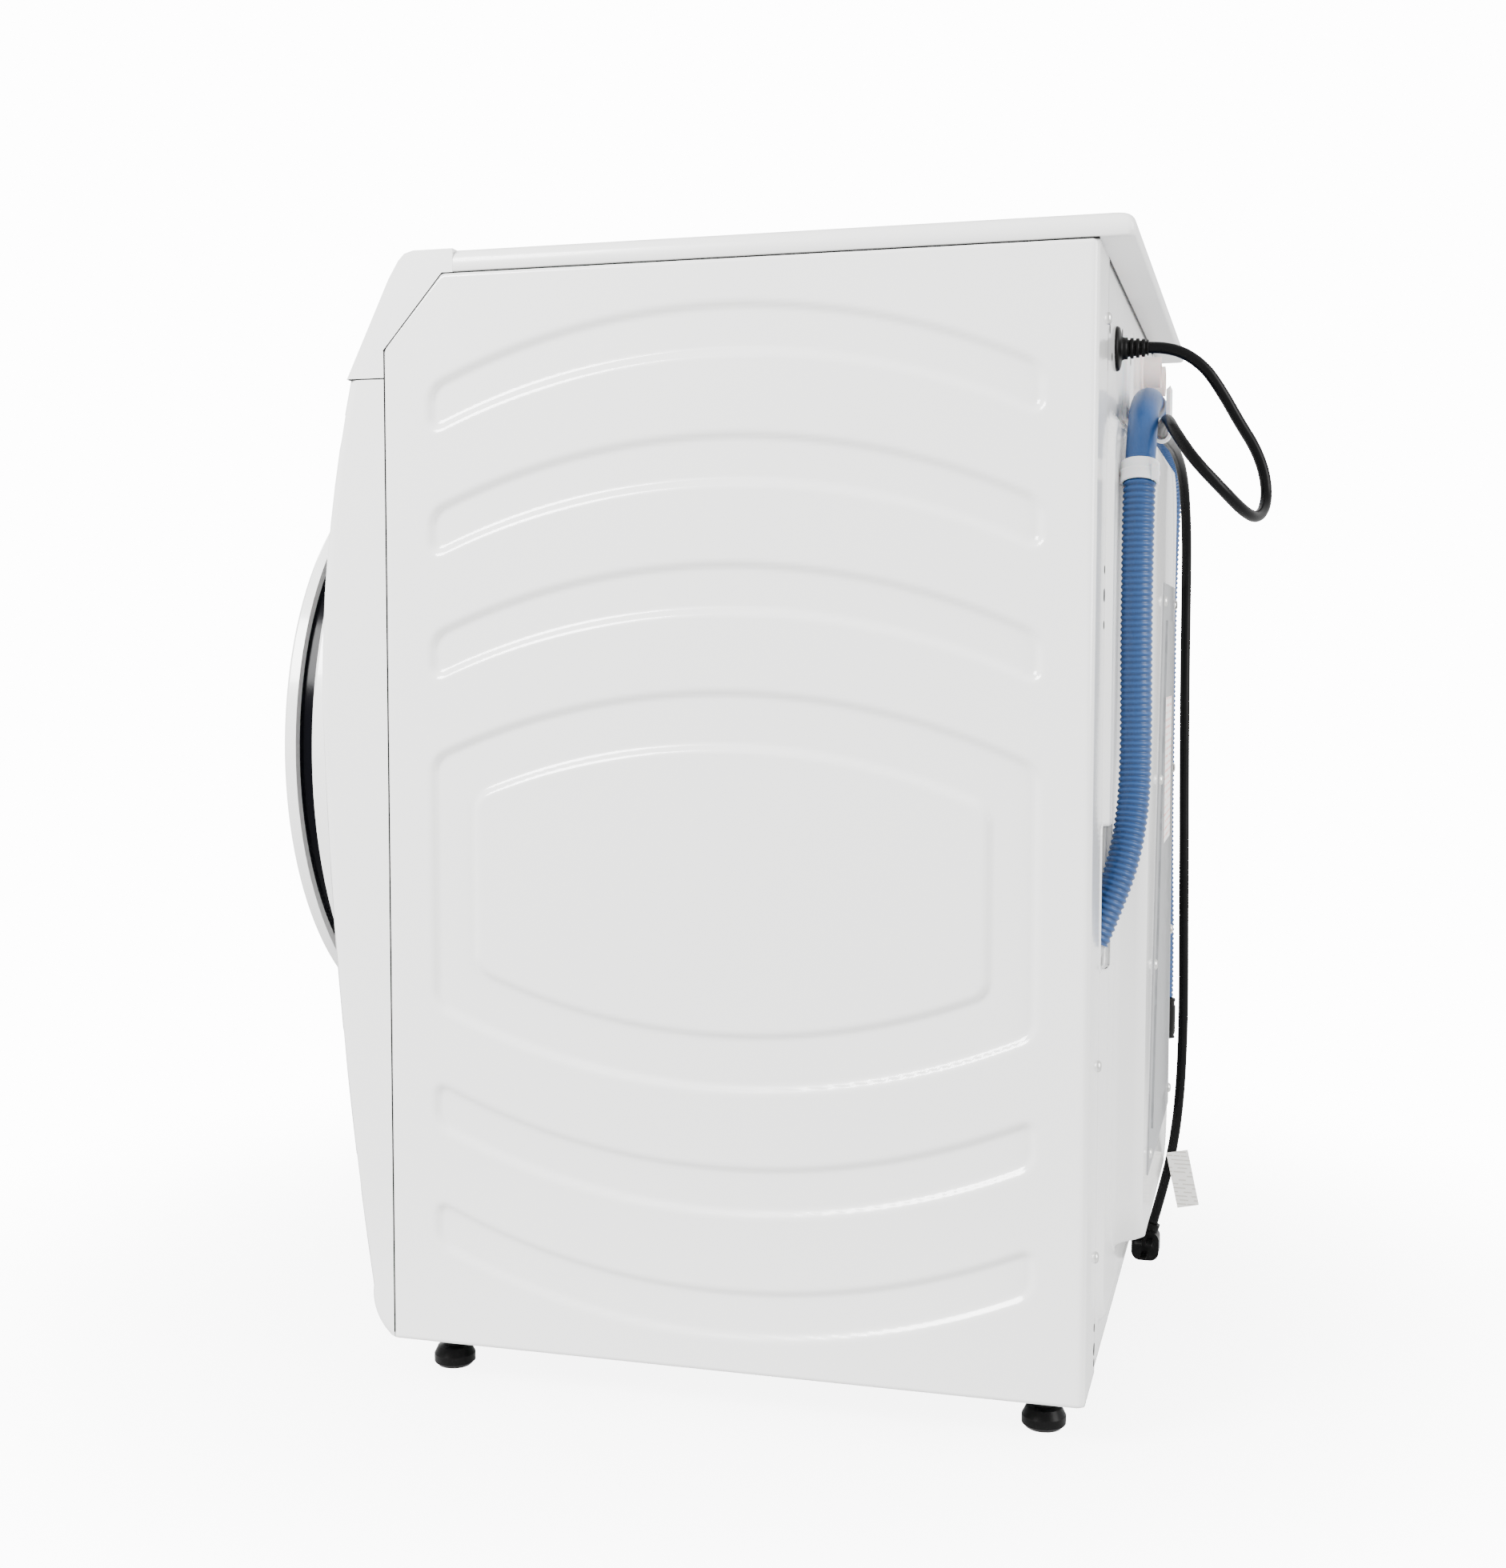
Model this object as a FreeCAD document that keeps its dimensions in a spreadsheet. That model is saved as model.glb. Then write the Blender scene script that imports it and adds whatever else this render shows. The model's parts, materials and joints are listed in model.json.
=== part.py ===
import FreeCAD, Part
import math
import os
import re

import Sketcher

# A compact front load washing machine, in millimetres. +X is the right-hand side for a person who
# faces the door, -Y is the front, +Z is up, and the origin is on the floor under the middle of the machine.

V = FreeCAD.Vector
doc = FreeCAD.newDocument("WashingMachine")

# ---------------------------------------------------------------- driving dimensions

SIZES = [
    ("width", 595, "overall width of the cabinet"),
    ("height", 850, "floor to worktop"),
    ("panel_depth", 523, "side panel, front seam to rear corner"),
    ("front_reach", 119, "front seam to the crest of the door ring"),
    ("rear_reach", 35, "rear corner to the rearmost fixed piece"),
    ("foot_gap", 33, "floor to the underside of the cabinet"),
    ("cover_thick", 18, "worktop thickness"),
    ("cover_overhang", 23.5, "worktop beyond the rear corner"),
    ("steel", 1, "sheet metal thickness"),
    ("moulding", 2.5, "plastic wall thickness"),
    ("fit_gap", 0.3, "clearance round seated curved pieces"),
    ("running", 0.05, "radial clearance of a shaft in its bore"),
    ("corner_fold", 6, "outer radius of the rear vertical corners"),
    ("flange_width", 72.5, "rear flange of a side panel"),
    ("bead_depth", 4, "depth of the pressed beads"),
    ("bead_pitch", 91, "spacing of the curved beads"),
    ("bead_band", 38, "height of a curved bead"),
    ("bead_radius", 530, "arc of a curved bead"),
    ("bead_half", 227, "half length of a curved bead"),
    ("bead_centre_z", 384.5, "middle of the bead pattern"),
    ("drum_z", 475, "height of the drum axis"),
    ("drum_r", 238, "drum outer radius"),
    ("drum_depth", 375, "drum length"),
    ("mouth_r", 190, "laundry opening radius of the front panel"),
    ("tub_gap", 13, "gap between drum and tub wall"),
    ("tub_wall", 3, "tub wall thickness"),
    ("shaft_r", 12.5, "drum shaft radius"),
    ("pulley_r", 150, "drum pulley radius"),
    ("motor_pulley_r", 12.5, "motor pulley radius"),
    ("belt_width", 12, "drive belt width"),
    ("belt_thick", 4, "drive belt thickness"),
    ("motor_r", 62, "motor body radius"),
    ("motor_x", 70, "motor axis sideways"),
    ("motor_z", 128, "motor axis height"),
    ("door_r", 246.5, "door ring outer radius"),
    ("window_r", 178, "door window radius"),
    ("collar_r", 276, "crest radius of the collar round the door"),
    ("foot_r", 16, "levelling foot radius"),
    ("foot_inset", 45, "foot centre from the cabinet sides"),
    ("hose_r", 12, "drain hose outer radius"),
    ("cord_r", 4.25, "power cord radius"),
    ("cord_exit_x", 150, "cord gland sideways"),
    ("cord_exit_z", 781, "cord gland height"),
    ("knob_r", 27, "programme knob radius"),
    ("button_w", 24, "width of a push button"),
    ("drawer_w", 168, "detergent drawer width"),
    ("drawer_depth", 245, "detergent drawer, front to back"),
    ("console_rise", 72, "height of the sloping console face"),
    ("console_run", 34.7, "depth of the sloping console face"),
    ("tray_height", 20, "height of the base tray"),
    ("pump_x", 150, "pump axis sideways"),
    ("pump_z", 100, "pump axis height"),
    ("pump_r", 30, "pump and filter radius"),
    ("bearing_r", 31, "bearing outer radius"),
    ("pin_r", 2.5, "hinge pin radius"),
    ("hinge_half", 30, "half height of the hinge knuckle"),
    ("spigot_r", 13.1, "water inlet thread radius"),
    ("spring_x", 230, "upper spring hook sideways"),
    ("spring_y", 60, "spring hooks, front to back"),
    ("spring_lean", 27, "how far the spring's lower end is drawn in"),
    ("damper_x", 230, "lower damper pivot sideways"),
    ("damper_lean", 45, "how far the damper's upper end is drawn in"),
    ("damper_tall", 180, "rise from the damper's lower pivot to its upper one"),
]

# Places are worked out from the sizes.
PLACES = [
    ("half_x", "width / 2"),
    ("front_y", "-(panel_depth + front_reach + rear_reach) / 2"),
    ("seam_y", "front_y + front_reach"),
    ("rear_y", "seam_y + panel_depth"),
    ("stern_y", "rear_y + rear_reach"),
    ("cover_z", "height - cover_thick"),
    ("inner_x", "half_x - steel"),
    ("flange_x", "half_x - flange_width"),
    ("panel_y", "rear_y - steel"),
    ("inside_y", "rear_y - 2 * steel"),
    ("cover_front_y", "seam_y + 56"),
    ("console_z", "cover_z - 74"),
    ("console_foot_y", "seam_y - 30"),
    ("slope_len", "sqrt(console_rise * console_rise + console_run * console_run)"),
    ("lean_sin", "console_run / slope_len"),
    ("lean_cos", "console_rise / slope_len"),
    ("ring_back_y", "front_y + 14.5"),
    ("recess_y", "front_y + 78.5"),
    ("collar_y", "front_y + 46"),
    ("hinge_x", "-door_r + 8.5"),
    ("hinge_y", "ring_back_y + 9"),
    ("tub_r", "drum_r + tub_gap + tub_wall"),
    ("tub_front_y", "seam_y + 23.5"),
    ("tub_back_y", "tub_front_y + tub_wall + 33 + drum_depth + 16"),
    ("drum_front_y", "tub_front_y + tub_wall + 18"),
    ("drum_back_y", "drum_front_y + drum_depth"),
    ("tub_seam_y", "tub_front_y + 216"),
    ("pulley_y", "tub_back_y + 40"),
    ("foot_x", "half_x - foot_inset"),
    ("foot_front_y", "seam_y + 30"),
    ("foot_rear_y", "rear_y - foot_inset + 12"),
    ("bead_centre_y", "seam_y + panel_depth / 2"),
    ("damper_z", "foot_gap + 42"),
    ("damper_top_x", "damper_x - damper_lean"),
    ("damper_top_z", "damper_z + damper_tall"),
]


def known(text):
    """The expression with the name of its sheet put before each alias."""
    sizes = {name for name, _, _ in SIZES}
    places = {name for name, _ in PLACES}

    def add_sheet(match):
        word = match.group(0)
        if word in sizes:
            return "Sizes." + word
        return "Places." + word if word in places else word

    return re.sub(r"[a-z_][a-z_0-9]*", add_sheet, str(text))


def fill_sheets():
    sizes = doc.addObject("Spreadsheet::Sheet", "Sizes")
    for row, (name, number, note) in enumerate(SIZES, 1):
        sizes.set(f"A{row}", note)
        sizes.set(f"B{row}", str(number))
        sizes.setAlias(f"B{row}", name)
    doc.recompute()
    places = doc.addObject("Spreadsheet::Sheet", "Places")
    for row, (name, formula) in enumerate(PLACES, 1):
        text = known(formula).replace("Places.", "")
        places.set(f"A{row}", "=" + text)
        places.setAlias(f"A{row}", name)
    doc.recompute()


fill_sheets()


class Values:
    """Reads a driving size or a worked-out place by its name."""

    def __getattr__(self, name):
        sheet = doc.Places if any(name == p for p, _ in PLACES) else doc.Sizes
        return float(sheet.get(name))


v = Values()
NODES = []


def node(obj, label):
    """Marks an object as a finished sub-part: its label names its file."""
    obj.Label = label
    NODES.append(obj)
    return obj


# ---------------------------------------------------------------- modelling helpers

TURNS = {
    "z": FreeCAD.Rotation(),
    "x": FreeCAD.Rotation(V(0, 1, 0), 90),
    "y": FreeCAD.Rotation(V(1, 0, 0), -90),
}


def bind(obj, **texts):
    for prop, text in texts.items():
        obj.setExpression(prop.replace("__", "."), known(text))
    return obj


def place(obj, x="0", y="0", z="0", along="z"):
    obj.Placement = FreeCAD.Placement(V(), TURNS[along])
    return bind(obj, Placement__Base__x=x, Placement__Base__y=y, Placement__Base__z=z)


def block(name, x, y, z):
    """A box from three (low, high) pairs of expressions."""
    box = doc.addObject("Part::Box", name)
    bind(
        box,
        Length=f"({x[1]}) - ({x[0]})",
        Width=f"({y[1]}) - ({y[0]})",
        Height=f"({z[1]}) - ({z[0]})",
    )
    return place(box, x[0], y[0], z[0])


def rod(name, radius, length, x="0", y="0", z="0", along="z"):
    """A cylinder that starts at a point and runs along an axis."""
    cylinder = doc.addObject("Part::Cylinder", name)
    bind(cylinder, Radius=radius, Height=length)
    return place(cylinder, x, y, z, along)


def join(name, *shapes):
    fuse = doc.addObject("Part::MultiFuse", name)
    fuse.Shapes = list(shapes)
    fuse.Refine = True
    return fuse


def cut(name, base, *tools):
    result = doc.addObject("Part::Cut", name)
    result.Base = base
    result.Tool = tools[0] if len(tools) == 1 else join(name + "_tools", *tools)
    return result


def gather(name, *shapes):
    """Several separate solids in one sub-part."""
    group = doc.addObject("Part::Compound", name)
    group.Links = list(shapes)
    return group


def plane_of(body, role):
    return next(o for o in body.Origin.OriginFeatures if o.Role == role)


def outline_sketch(body, role, points):
    """A closed sketch of straight lines whose corners are bound to expressions."""
    sketch = body.newObject("Sketcher::SketchObject", body.Name + "_outline")
    sketch.AttachmentSupport = [(plane_of(body, role), "")]
    sketch.MapMode = "FlatFace"
    probe = doc.addObject("App::FeaturePython", "probe")
    probe.addProperty("App::PropertyFloat", "Value")
    corners = []
    for pair in points:
        numbers = []
        for text in pair:
            probe.setExpression("Value", known(text))
            probe.recompute()
            numbers.append(probe.Value)
        corners.append(numbers)
    doc.removeObject(probe.Name)
    count = len(corners)
    for i, (a, b) in enumerate(corners):
        c, d = corners[(i + 1) % count]
        sketch.addGeometry(Part.LineSegment(V(a, b), V(c, d)), False)
    for i in range(count):
        sketch.addConstraint(Sketcher.Constraint("Coincident", i, 2, (i + 1) % count, 1))
    for i, pair in enumerate(points):
        for kind, text, number in zip(("DistanceX", "DistanceY"), pair, corners[i]):
            index = sketch.addConstraint(Sketcher.Constraint(kind, -1, 1, i, 1, number))
            sketch.setExpression(f"Constraints[{index}]", known(text))
    return sketch


def turned(name, points, x="0", z="drum_z"):
    """A body revolved about a front-to-back axis; points are (radius, y)."""
    body = doc.addObject("PartDesign::Body", name)
    sketch = outline_sketch(body, "XY_Plane", points)
    turn = body.newObject("PartDesign::Revolution", name + "_turn")
    turn.Profile = sketch
    turn.ReferenceAxis = (sketch, ["V_Axis"])
    turn.Angle = 360
    return bind(body, Placement__Base__x=x, Placement__Base__z=z)


def spun(name, points, x="0", y="0"):
    """A body revolved about a vertical axis; points are (radius, z)."""
    body = doc.addObject("PartDesign::Body", name)
    sketch = outline_sketch(body, "XZ_Plane", points)
    turn = body.newObject("PartDesign::Revolution", name + "_turn")
    turn.Profile = sketch
    turn.ReferenceAxis = (sketch, ["V_Axis"])
    turn.Angle = 360
    return bind(body, Placement__Base__x=x, Placement__Base__y=y)


def padded(name, points, start, length):
    """A side-view outline, (y, z) points, padded along X from start."""
    body = doc.addObject("PartDesign::Body", name)
    sketch = outline_sketch(body, "YZ_Plane", points)
    pad = body.newObject("PartDesign::Pad", name + "_pad")
    pad.Profile = sketch
    bind(pad, Length=length)
    return bind(body, Placement__Base__x=start)


def shaped(name, shape):
    """A feature whose shape is worked out directly."""
    feature = doc.addObject("Part::Feature", name)
    feature.Shape = shape
    return feature


def face_of(points):
    return Part.Face(Part.makePolygon([V(*p) for p in points] + [V(*points[0])]))


def prism_x(points, x0, x1):
    """A (y, z) outline pushed along X."""
    return face_of([(x0, y, z) for y, z in points]).extrude(V(x1 - x0, 0, 0))


def ring_solid(points, axis_z, x=0.0):
    """(radius, y) points turned about the front-to-back axis at x, axis_z."""
    outline = face_of([(r, y, 0) for r, y in points])
    solid = outline.revolve(V(0, 0, 0), V(0, 1, 0), 360)
    solid.translate(V(x, 0, axis_z))
    return solid


def wire_face(edges):
    return Part.Face(Part.Wire(Part.__sortEdges__(edges)))


def pipe(points, radius, bend=None, inner=0.0):
    """A round tube along straight runs joined by tangent arcs."""
    pts = [V(*p) for p in points]
    edges, at = [], pts[0]
    for i in range(1, len(pts) - 1):
        a, b, c = pts[i - 1], pts[i], pts[i + 1]
        u, w = (b - a).normalize(), (c - b).normalize()
        turn = u.getAngle(w)
        run = 0.45 * min((b - a).Length, (c - b).Length)
        size = run / math.tan(turn / 2)
        if bend:
            size = min(size, bend)
        back = size * math.tan(turn / 2)
        start, end = b - u * back, b + w * back
        middle = b + (w - u).normalize() * (size / math.cos(turn / 2) - size)
        edges.append(Part.LineSegment(at, start).toShape())
        edges.append(Part.Arc(start, middle, end).toShape())
        at = end
    edges.append(Part.LineSegment(at, pts[-1]).toShape())
    spine = Part.Wire(edges)
    along = (pts[1] - pts[0]).normalize()

    def sweep(r):
        ring = Part.Wire(Part.makeCircle(r, pts[0], along))
        return spine.makePipeShell([ring], True, False)

    body = sweep(radius)
    if inner:
        body = body.cut(sweep(inner))
    return body, spine.Length


# ---------------------------------------------------------------- cabinet


def arc_band(y0, half, z_top, z_bottom, radius, up):
    """The outline of a curved bead: two arcs bulging up or down, and two straight ends."""
    sag = radius - math.sqrt(radius**2 - half**2)
    drop = -sag if up else sag
    a, b = V(0, y0 - half, z_top + drop), V(0, y0 + half, z_top + drop)
    c, d = V(0, y0 + half, z_bottom + drop), V(0, y0 - half, z_bottom + drop)
    return [
        Part.Arc(a, V(0, y0, z_top), b).toShape(),
        Part.LineSegment(b, c).toShape(),
        Part.Arc(c, V(0, y0, z_bottom), d).toShape(),
        Part.LineSegment(d, a).toShape(),
    ]


def barrel(y0, half, z0, rise, radius):
    """The outline of the middle bead: an arc above, an arc below, straight sides."""
    sag = radius - math.sqrt(radius**2 - half**2)
    a, b = V(0, y0 - half, z0 + rise - sag), V(0, y0 + half, z0 + rise - sag)
    c, d = V(0, y0 + half, z0 - rise + sag), V(0, y0 - half, z0 - rise + sag)
    return [
        Part.Arc(a, V(0, y0, z0 + rise), b).toShape(),
        Part.LineSegment(b, c).toShape(),
        Part.Arc(c, V(0, y0, z0 - rise), d).toShape(),
        Part.LineSegment(d, a).toShape(),
    ]


def pressed(region, x_face, depth, steel):
    """The pan of sheet metal that a bead leaves behind the panel face at x_face."""
    outer = region.copy()
    outer.translate(V(x_face - depth - steel, 0, 0))
    rim = region.makeOffset2D(-steel)
    hollow = rim.copy()
    hollow.translate(V(x_face - depth, 0, 0))
    return outer.extrude(V(depth + steel, 0, 0)).cut(hollow.extrude(V(depth + steel, 0, 0)))


def bead_regions():
    y0, z0 = v.bead_centre_y, v.bead_centre_z
    pitch, band, radius, half = v.bead_pitch, v.bead_band, v.bead_radius, v.bead_half
    rise = 1.6 * pitch
    regions = []
    for row in (1, 2, 3):
        top = z0 + rise + row * pitch
        regions.append(wire_face(arc_band(y0, half, top, top - band, radius, True)))
    for row in (1, 2):
        bottom = z0 - rise - row * pitch
        regions.append(wire_face(arc_band(y0, half, bottom + band, bottom, radius, False)))
    outer = wire_face(barrel(y0, half, z0, rise, radius))
    inner = wire_face(barrel(y0, half - band, z0, rise - band, radius - band))
    return regions, outer, inner


CHEEK_RISE, CHEEK_RUN = 54, 47.5


def side_panel(label, sign):
    """Pressed side wall that folds round the rear corner; made on the right, mirrored for the left."""
    steel, fold, x1 = v.steel, v.corner_fold, v.half_x
    y0, y1, z0, z1 = v.seam_y, v.rear_y, v.foot_gap, v.cover_z

    def corner(gap):
        x, y, r = x1 - gap, y1 - gap, fold - gap
        bow = r * (1 - math.sqrt(0.5))
        return [
            (V(x, y0, z0), V(x, y - r, z0)),
            (V(x, y - r, z0), V(x - bow, y - bow, z0), V(x - r, y, z0)),
            (V(x - r, y, z0), V(v.flange_x, y, z0)),
        ]

    edges = []
    for path in (corner(0), corner(steel)):
        for run in path:
            maker = Part.LineSegment if len(run) == 2 else Part.Arc
            edges.append(maker(*run).toShape())
    edges.append(Part.LineSegment(V(x1, y0, z0), V(x1 - steel, y0, z0)).toShape())
    end_a, end_b = V(v.flange_x, y1, z0), V(v.flange_x, y1 - steel, z0)
    edges.append(Part.LineSegment(end_a, end_b).toShape())
    sheet = wire_face(edges).extrude(V(0, 0, z1 - z0))
    rake = CHEEK_RISE / CHEEK_RUN
    notch = [(y0 - 1, z1 - CHEEK_RISE - rake), (y0 + CHEEK_RUN + 1 / rake, z1 + 1), (y0 - 1, z1 + 1)]
    sheet = sheet.cut(prism_x(notch, x1 - 20, x1 + 5))
    regions, outer, inner = bead_regions()
    for region in regions:
        through = region.copy()
        through.translate(V(x1 - 5, 0, 0))
        sheet = sheet.cut(through.extrude(V(10, 0, 0)))
        sheet = sheet.fuse(pressed(region, x1, v.bead_depth, steel))
    moat = outer.cut(inner)
    through = moat.copy()
    through.translate(V(x1 - 5, 0, 0))
    sheet = sheet.cut(through.extrude(V(10, 0, 0)))
    walls = outer.cut(outer.makeOffset2D(-steel)).fuse(inner.makeOffset2D(steel).cut(inner))
    walls.translate(V(x1 - v.bead_depth - steel, 0, 0))
    floor = moat.copy()
    floor.translate(V(x1 - v.bead_depth - steel, 0, 0))
    sheet = sheet.fuse(walls.extrude(V(v.bead_depth + steel, 0, 0)))
    sheet = sheet.fuse(floor.extrude(V(steel, 0, 0)))
    for z, tall in ((615, 4), (597, 9), (576, 4), (68, 4), (50, 8), (41, 5)):
        hole = Part.makeBox(4, 8, tall, V(v.flange_x + 5, y1 - 4, z - tall / 2))
        sheet = sheet.cut(hole)
    if sign < 0:
        sheet = sheet.mirror(V(0, 0, 0), V(1, 0, 0))
    return node(shaped(label, sheet.removeSplitter()), label)


side_panel("side_panel_right", 1)
side_panel("side_panel_left", -1)


def rounded_frame(half, z0, z1, radius, y):
    """A rounded rectangle as a wire in the plane y."""
    x0, x1, r = -half, half, radius
    k = r * (1 - math.sqrt(0.5))
    runs = [
        (V(x0 + r, y, z0), V(x1 - r, y, z0)),
        (V(x1 - r, y, z0), V(x1 - k, y, z0 + k), V(x1, y, z0 + r)),
        (V(x1, y, z0 + r), V(x1, y, z1 - r)),
        (V(x1, y, z1 - r), V(x1 - k, y, z1 - k), V(x1 - r, y, z1)),
        (V(x1 - r, y, z1), V(x0 + r, y, z1)),
        (V(x0 + r, y, z1), V(x0 + k, y, z1 - k), V(x0, y, z1 - r)),
        (V(x0, y, z1 - r), V(x0, y, z0 + r)),
        (V(x0, y, z0 + r), V(x0 + k, y, z0 + k), V(x0 + r, y, z0)),
    ]
    edges = [(Part.LineSegment if len(p) == 2 else Part.Arc)(*p).toShape() for p in runs]
    return Part.Wire(edges)


TIER_1 = {"half": 212, "low": 62, "drop": 107, "round": 40, "rise": 5.5}
TIER_2 = {"half": 152, "low": 104, "drop": 120, "round": 55, "rise": 28.5}
COVER = {"near_top": 20, "near_low": 108, "far_low": -150, "far_top": -130, "low": 150, "high": 613}
INLET_X, INLET_STEP, INLET_Z = -90, 58, 796
HOSE_SLOT_X, HOSE_SLOT_Z, HOSE_SLOT_TALL = 209, 380, 104


def tier(shape, y, step, slope, skin=0.0):
    """A swelling of the rear panel: a frustum from the plane y outwards."""
    low, high = shape["low"] + skin, v.cover_z - shape["drop"] - skin
    half, turn = shape["half"] - skin, shape["round"]
    outer = rounded_frame(half + slope, low - slope, high + slope, turn, y)
    inner = rounded_frame(half, low, high, turn - slope, y + step)
    return Part.makeLoft([outer, inner], True, True)


def service_outline(inset, y):
    """The uneven four-sided outline of the service cover, drawn in by inset."""
    c = COVER
    corners = [
        (c["far_low"] + inset, c["low"] + inset),
        (c["near_low"] - inset, c["low"] + inset),
        (c["near_top"] - inset, c["high"] - inset),
        (c["far_top"] + inset, c["high"] - inset),
    ]
    return face_of([(x, y, z) for x, z in corners])


def rear_panel():
    """Pressed rear wall with two swellings, the service opening and the holes for pipes and cord."""
    steel, face = v.steel, v.panel_y
    wide = v.flange_x + 12
    plate = Part.makeBox(2 * wide, steel, v.cover_z - v.foot_gap, V(-wide, face - steel, v.foot_gap))
    first, second = TIER_1["rise"], TIER_2["rise"] - TIER_1["rise"]
    skin = plate.fuse(tier(TIER_1, face, first, 6)).fuse(tier(TIER_2, face + first, second, 10))
    hollow_1 = tier(TIER_1, face - steel, first, 6, steel)
    hollow_2 = tier(TIER_2, face - steel + first, second, 10, steel)
    skin = skin.cut(hollow_1).cut(hollow_2)
    skin = skin.cut(service_outline(14, face - 5).extrude(V(0, 60, 0)))
    for x, z, r in (
        (v.cord_exit_x, v.cord_exit_z, 11),
        (INLET_X, INLET_Z, v.spigot_r + 3),
        (INLET_X - INLET_STEP, INLET_Z, v.spigot_r + 3),
    ):
        skin = skin.cut(Part.makeCylinder(r, 60, V(x, face - 30, z), V(0, 1, 0)))
    reach = v.hose_r + 6
    slot = Part.makeBox(
        2 * reach, 60, HOSE_SLOT_TALL, V(HOSE_SLOT_X - reach, face - 30, HOSE_SLOT_Z - HOSE_SLOT_TALL / 2)
    )
    return node(shaped("rear_panel", skin.cut(slot).removeSplitter()), "rear_panel")


rear_panel()

# The galvanised cover over the belt, screwed on round its edge.
SKIN_Y = f"panel_y + {TIER_2['rise']}"


def service_cover():
    y = v.panel_y + TIER_2["rise"]
    plate = service_outline(0, y).extrude(V(0, v.steel, 0))
    raised = service_outline(30, y).extrude(V(0, 2.5 * v.steel, 0))
    dish = service_outline(31, y - 1).extrude(V(0, 1 + 1.5 * v.steel, 0))
    return node(shaped("service_cover", plate.fuse(raised).cut(dish).removeSplitter()), "service_cover")


service_cover()


def screw_row(name, spots, y):
    """Pan-head screws driven in from behind; spots are (x, z)."""
    return [rod(f"{name}_{i}", "4.5", "3", x, y, z, "y") for i, (x, z) in enumerate(spots)]


def cover_edge(z, side):
    """The x of the cover's slanting edge at a height."""
    low, high = COVER[side + "_low"], COVER[side + "_top"]
    return low + (high - low) * (z - COVER["low"]) / (COVER["high"] - COVER["low"])


cover_spots = [(cover_edge(z, "near") - 8, z) for z in (165, 310, 455, 598)]
cover_spots += [(cover_edge(z, "far") + 8, z) for z in (165, 310, 455, 598)]
panel_spots = [(x, z) for x in ("-flange_x - 6", "flange_x + 6") for z in ("120", "260", "790")]
screws = screw_row("cover_screw", cover_spots, SKIN_Y + " + steel")
screws += screw_row("panel_screw", panel_spots, "rear_y")
node(gather("rear_screws", *screws), "rear_screws")

# Base tray, carrying the feet, the dampers and the pump.
TRAY_BACK = "rear_y - corner_fold - 1"
tray = block("tray", ("-inner_x", "inner_x"), ("seam_y", TRAY_BACK), ("foot_gap", "foot_gap + tray_height"))
tray_room = block(
    "tray_room",
    ("-inner_x + moulding", "inner_x - moulding"),
    ("seam_y + moulding", TRAY_BACK + " - moulding"),
    ("foot_gap + moulding", "foot_gap + tray_height + 1"),
)
FEET = {
    "front_left": ("-foot_x", "foot_front_y"),
    "front_right": ("foot_x", "foot_front_y"),
    "rear_left": ("-foot_x", "foot_rear_y"),
    "rear_right": ("foot_x", "foot_rear_y"),
}
bosses = [
    rod(f"boss_{k}", "14", "tray_height", x, y, "foot_gap") for k, (x, y) in FEET.items()
]
boss_bores = [
    rod(f"bore_{k}", "5 + fit_gap", "40", x, y, "foot_gap - 5") for k, (x, y) in FEET.items()
]
clevises = []
for side, low, high, pin in (
    ("left", "-damper_x - 12", "-damper_x + 12", "-damper_x"),
    ("right", "damper_x - 12", "damper_x + 12", "damper_x"),
):
    for i, y in enumerate((("-12", "-7"), ("7", "12"))):
        clevises.append(block(f"clevis_{side}_{i}", (low, high), y, ("foot_gap + 1", "damper_z + 9")))
    clevises.append(rod(f"clevis_pin_{side}", "4", "20", pin, "-10", "damper_z", "y"))
tray_solid = join("tray_body", cut("tray_shell", tray, tray_room), *bosses, *clevises)
node(cut("base_tray_drilled", tray_solid, *boss_bores), "base_tray")

for corner, (x, y) in FEET.items():
    foot = spun(
        f"foot_{corner}",
        [
            ("0", "0"),
            ("foot_r - 3", "0"),
            ("foot_r", "3"),
            ("foot_r", "9"),
            ("foot_r - 3", "15"),
            ("9", "17"),
            ("9", "22"),
            ("5", "22"),
            ("5", "foot_gap + 14"),
            ("0", "foot_gap + 14"),
        ],
        x,
        y,
    )
    node(foot, f"levelling_foot_{corner}")

# Worktop: a moulded frame and skin over a chipboard insert.
def worktop():
    x, z0, z1 = v.half_x, v.cover_z, v.height
    y0, y1 = v.cover_front_y, v.rear_y + v.cover_overhang
    lid = Part.makeBox(2 * x, y1 - y0, z1 - z0, V(-x, y0, z0))
    tall = []
    for edge in lid.Edges:
        box = edge.BoundBox
        level = box.ZLength < 1e-6 and box.ZMax > z1 - 1e-6
        if level and (box.XLength < 1e-6 or box.YMin > y1 - 1e-6):
            tall.append(edge)
    lid = lid.makeFillet(8, tall)
    rim = 14
    room = Part.makeBox(
        2 * (x - rim), y1 - y0 - 2 * rim, z1 - z0 - v.moulding, V(-x + rim, y0 + rim, z0)
    )
    return node(shaped("worktop", lid.cut(room)), "worktop")


worktop()

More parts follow.
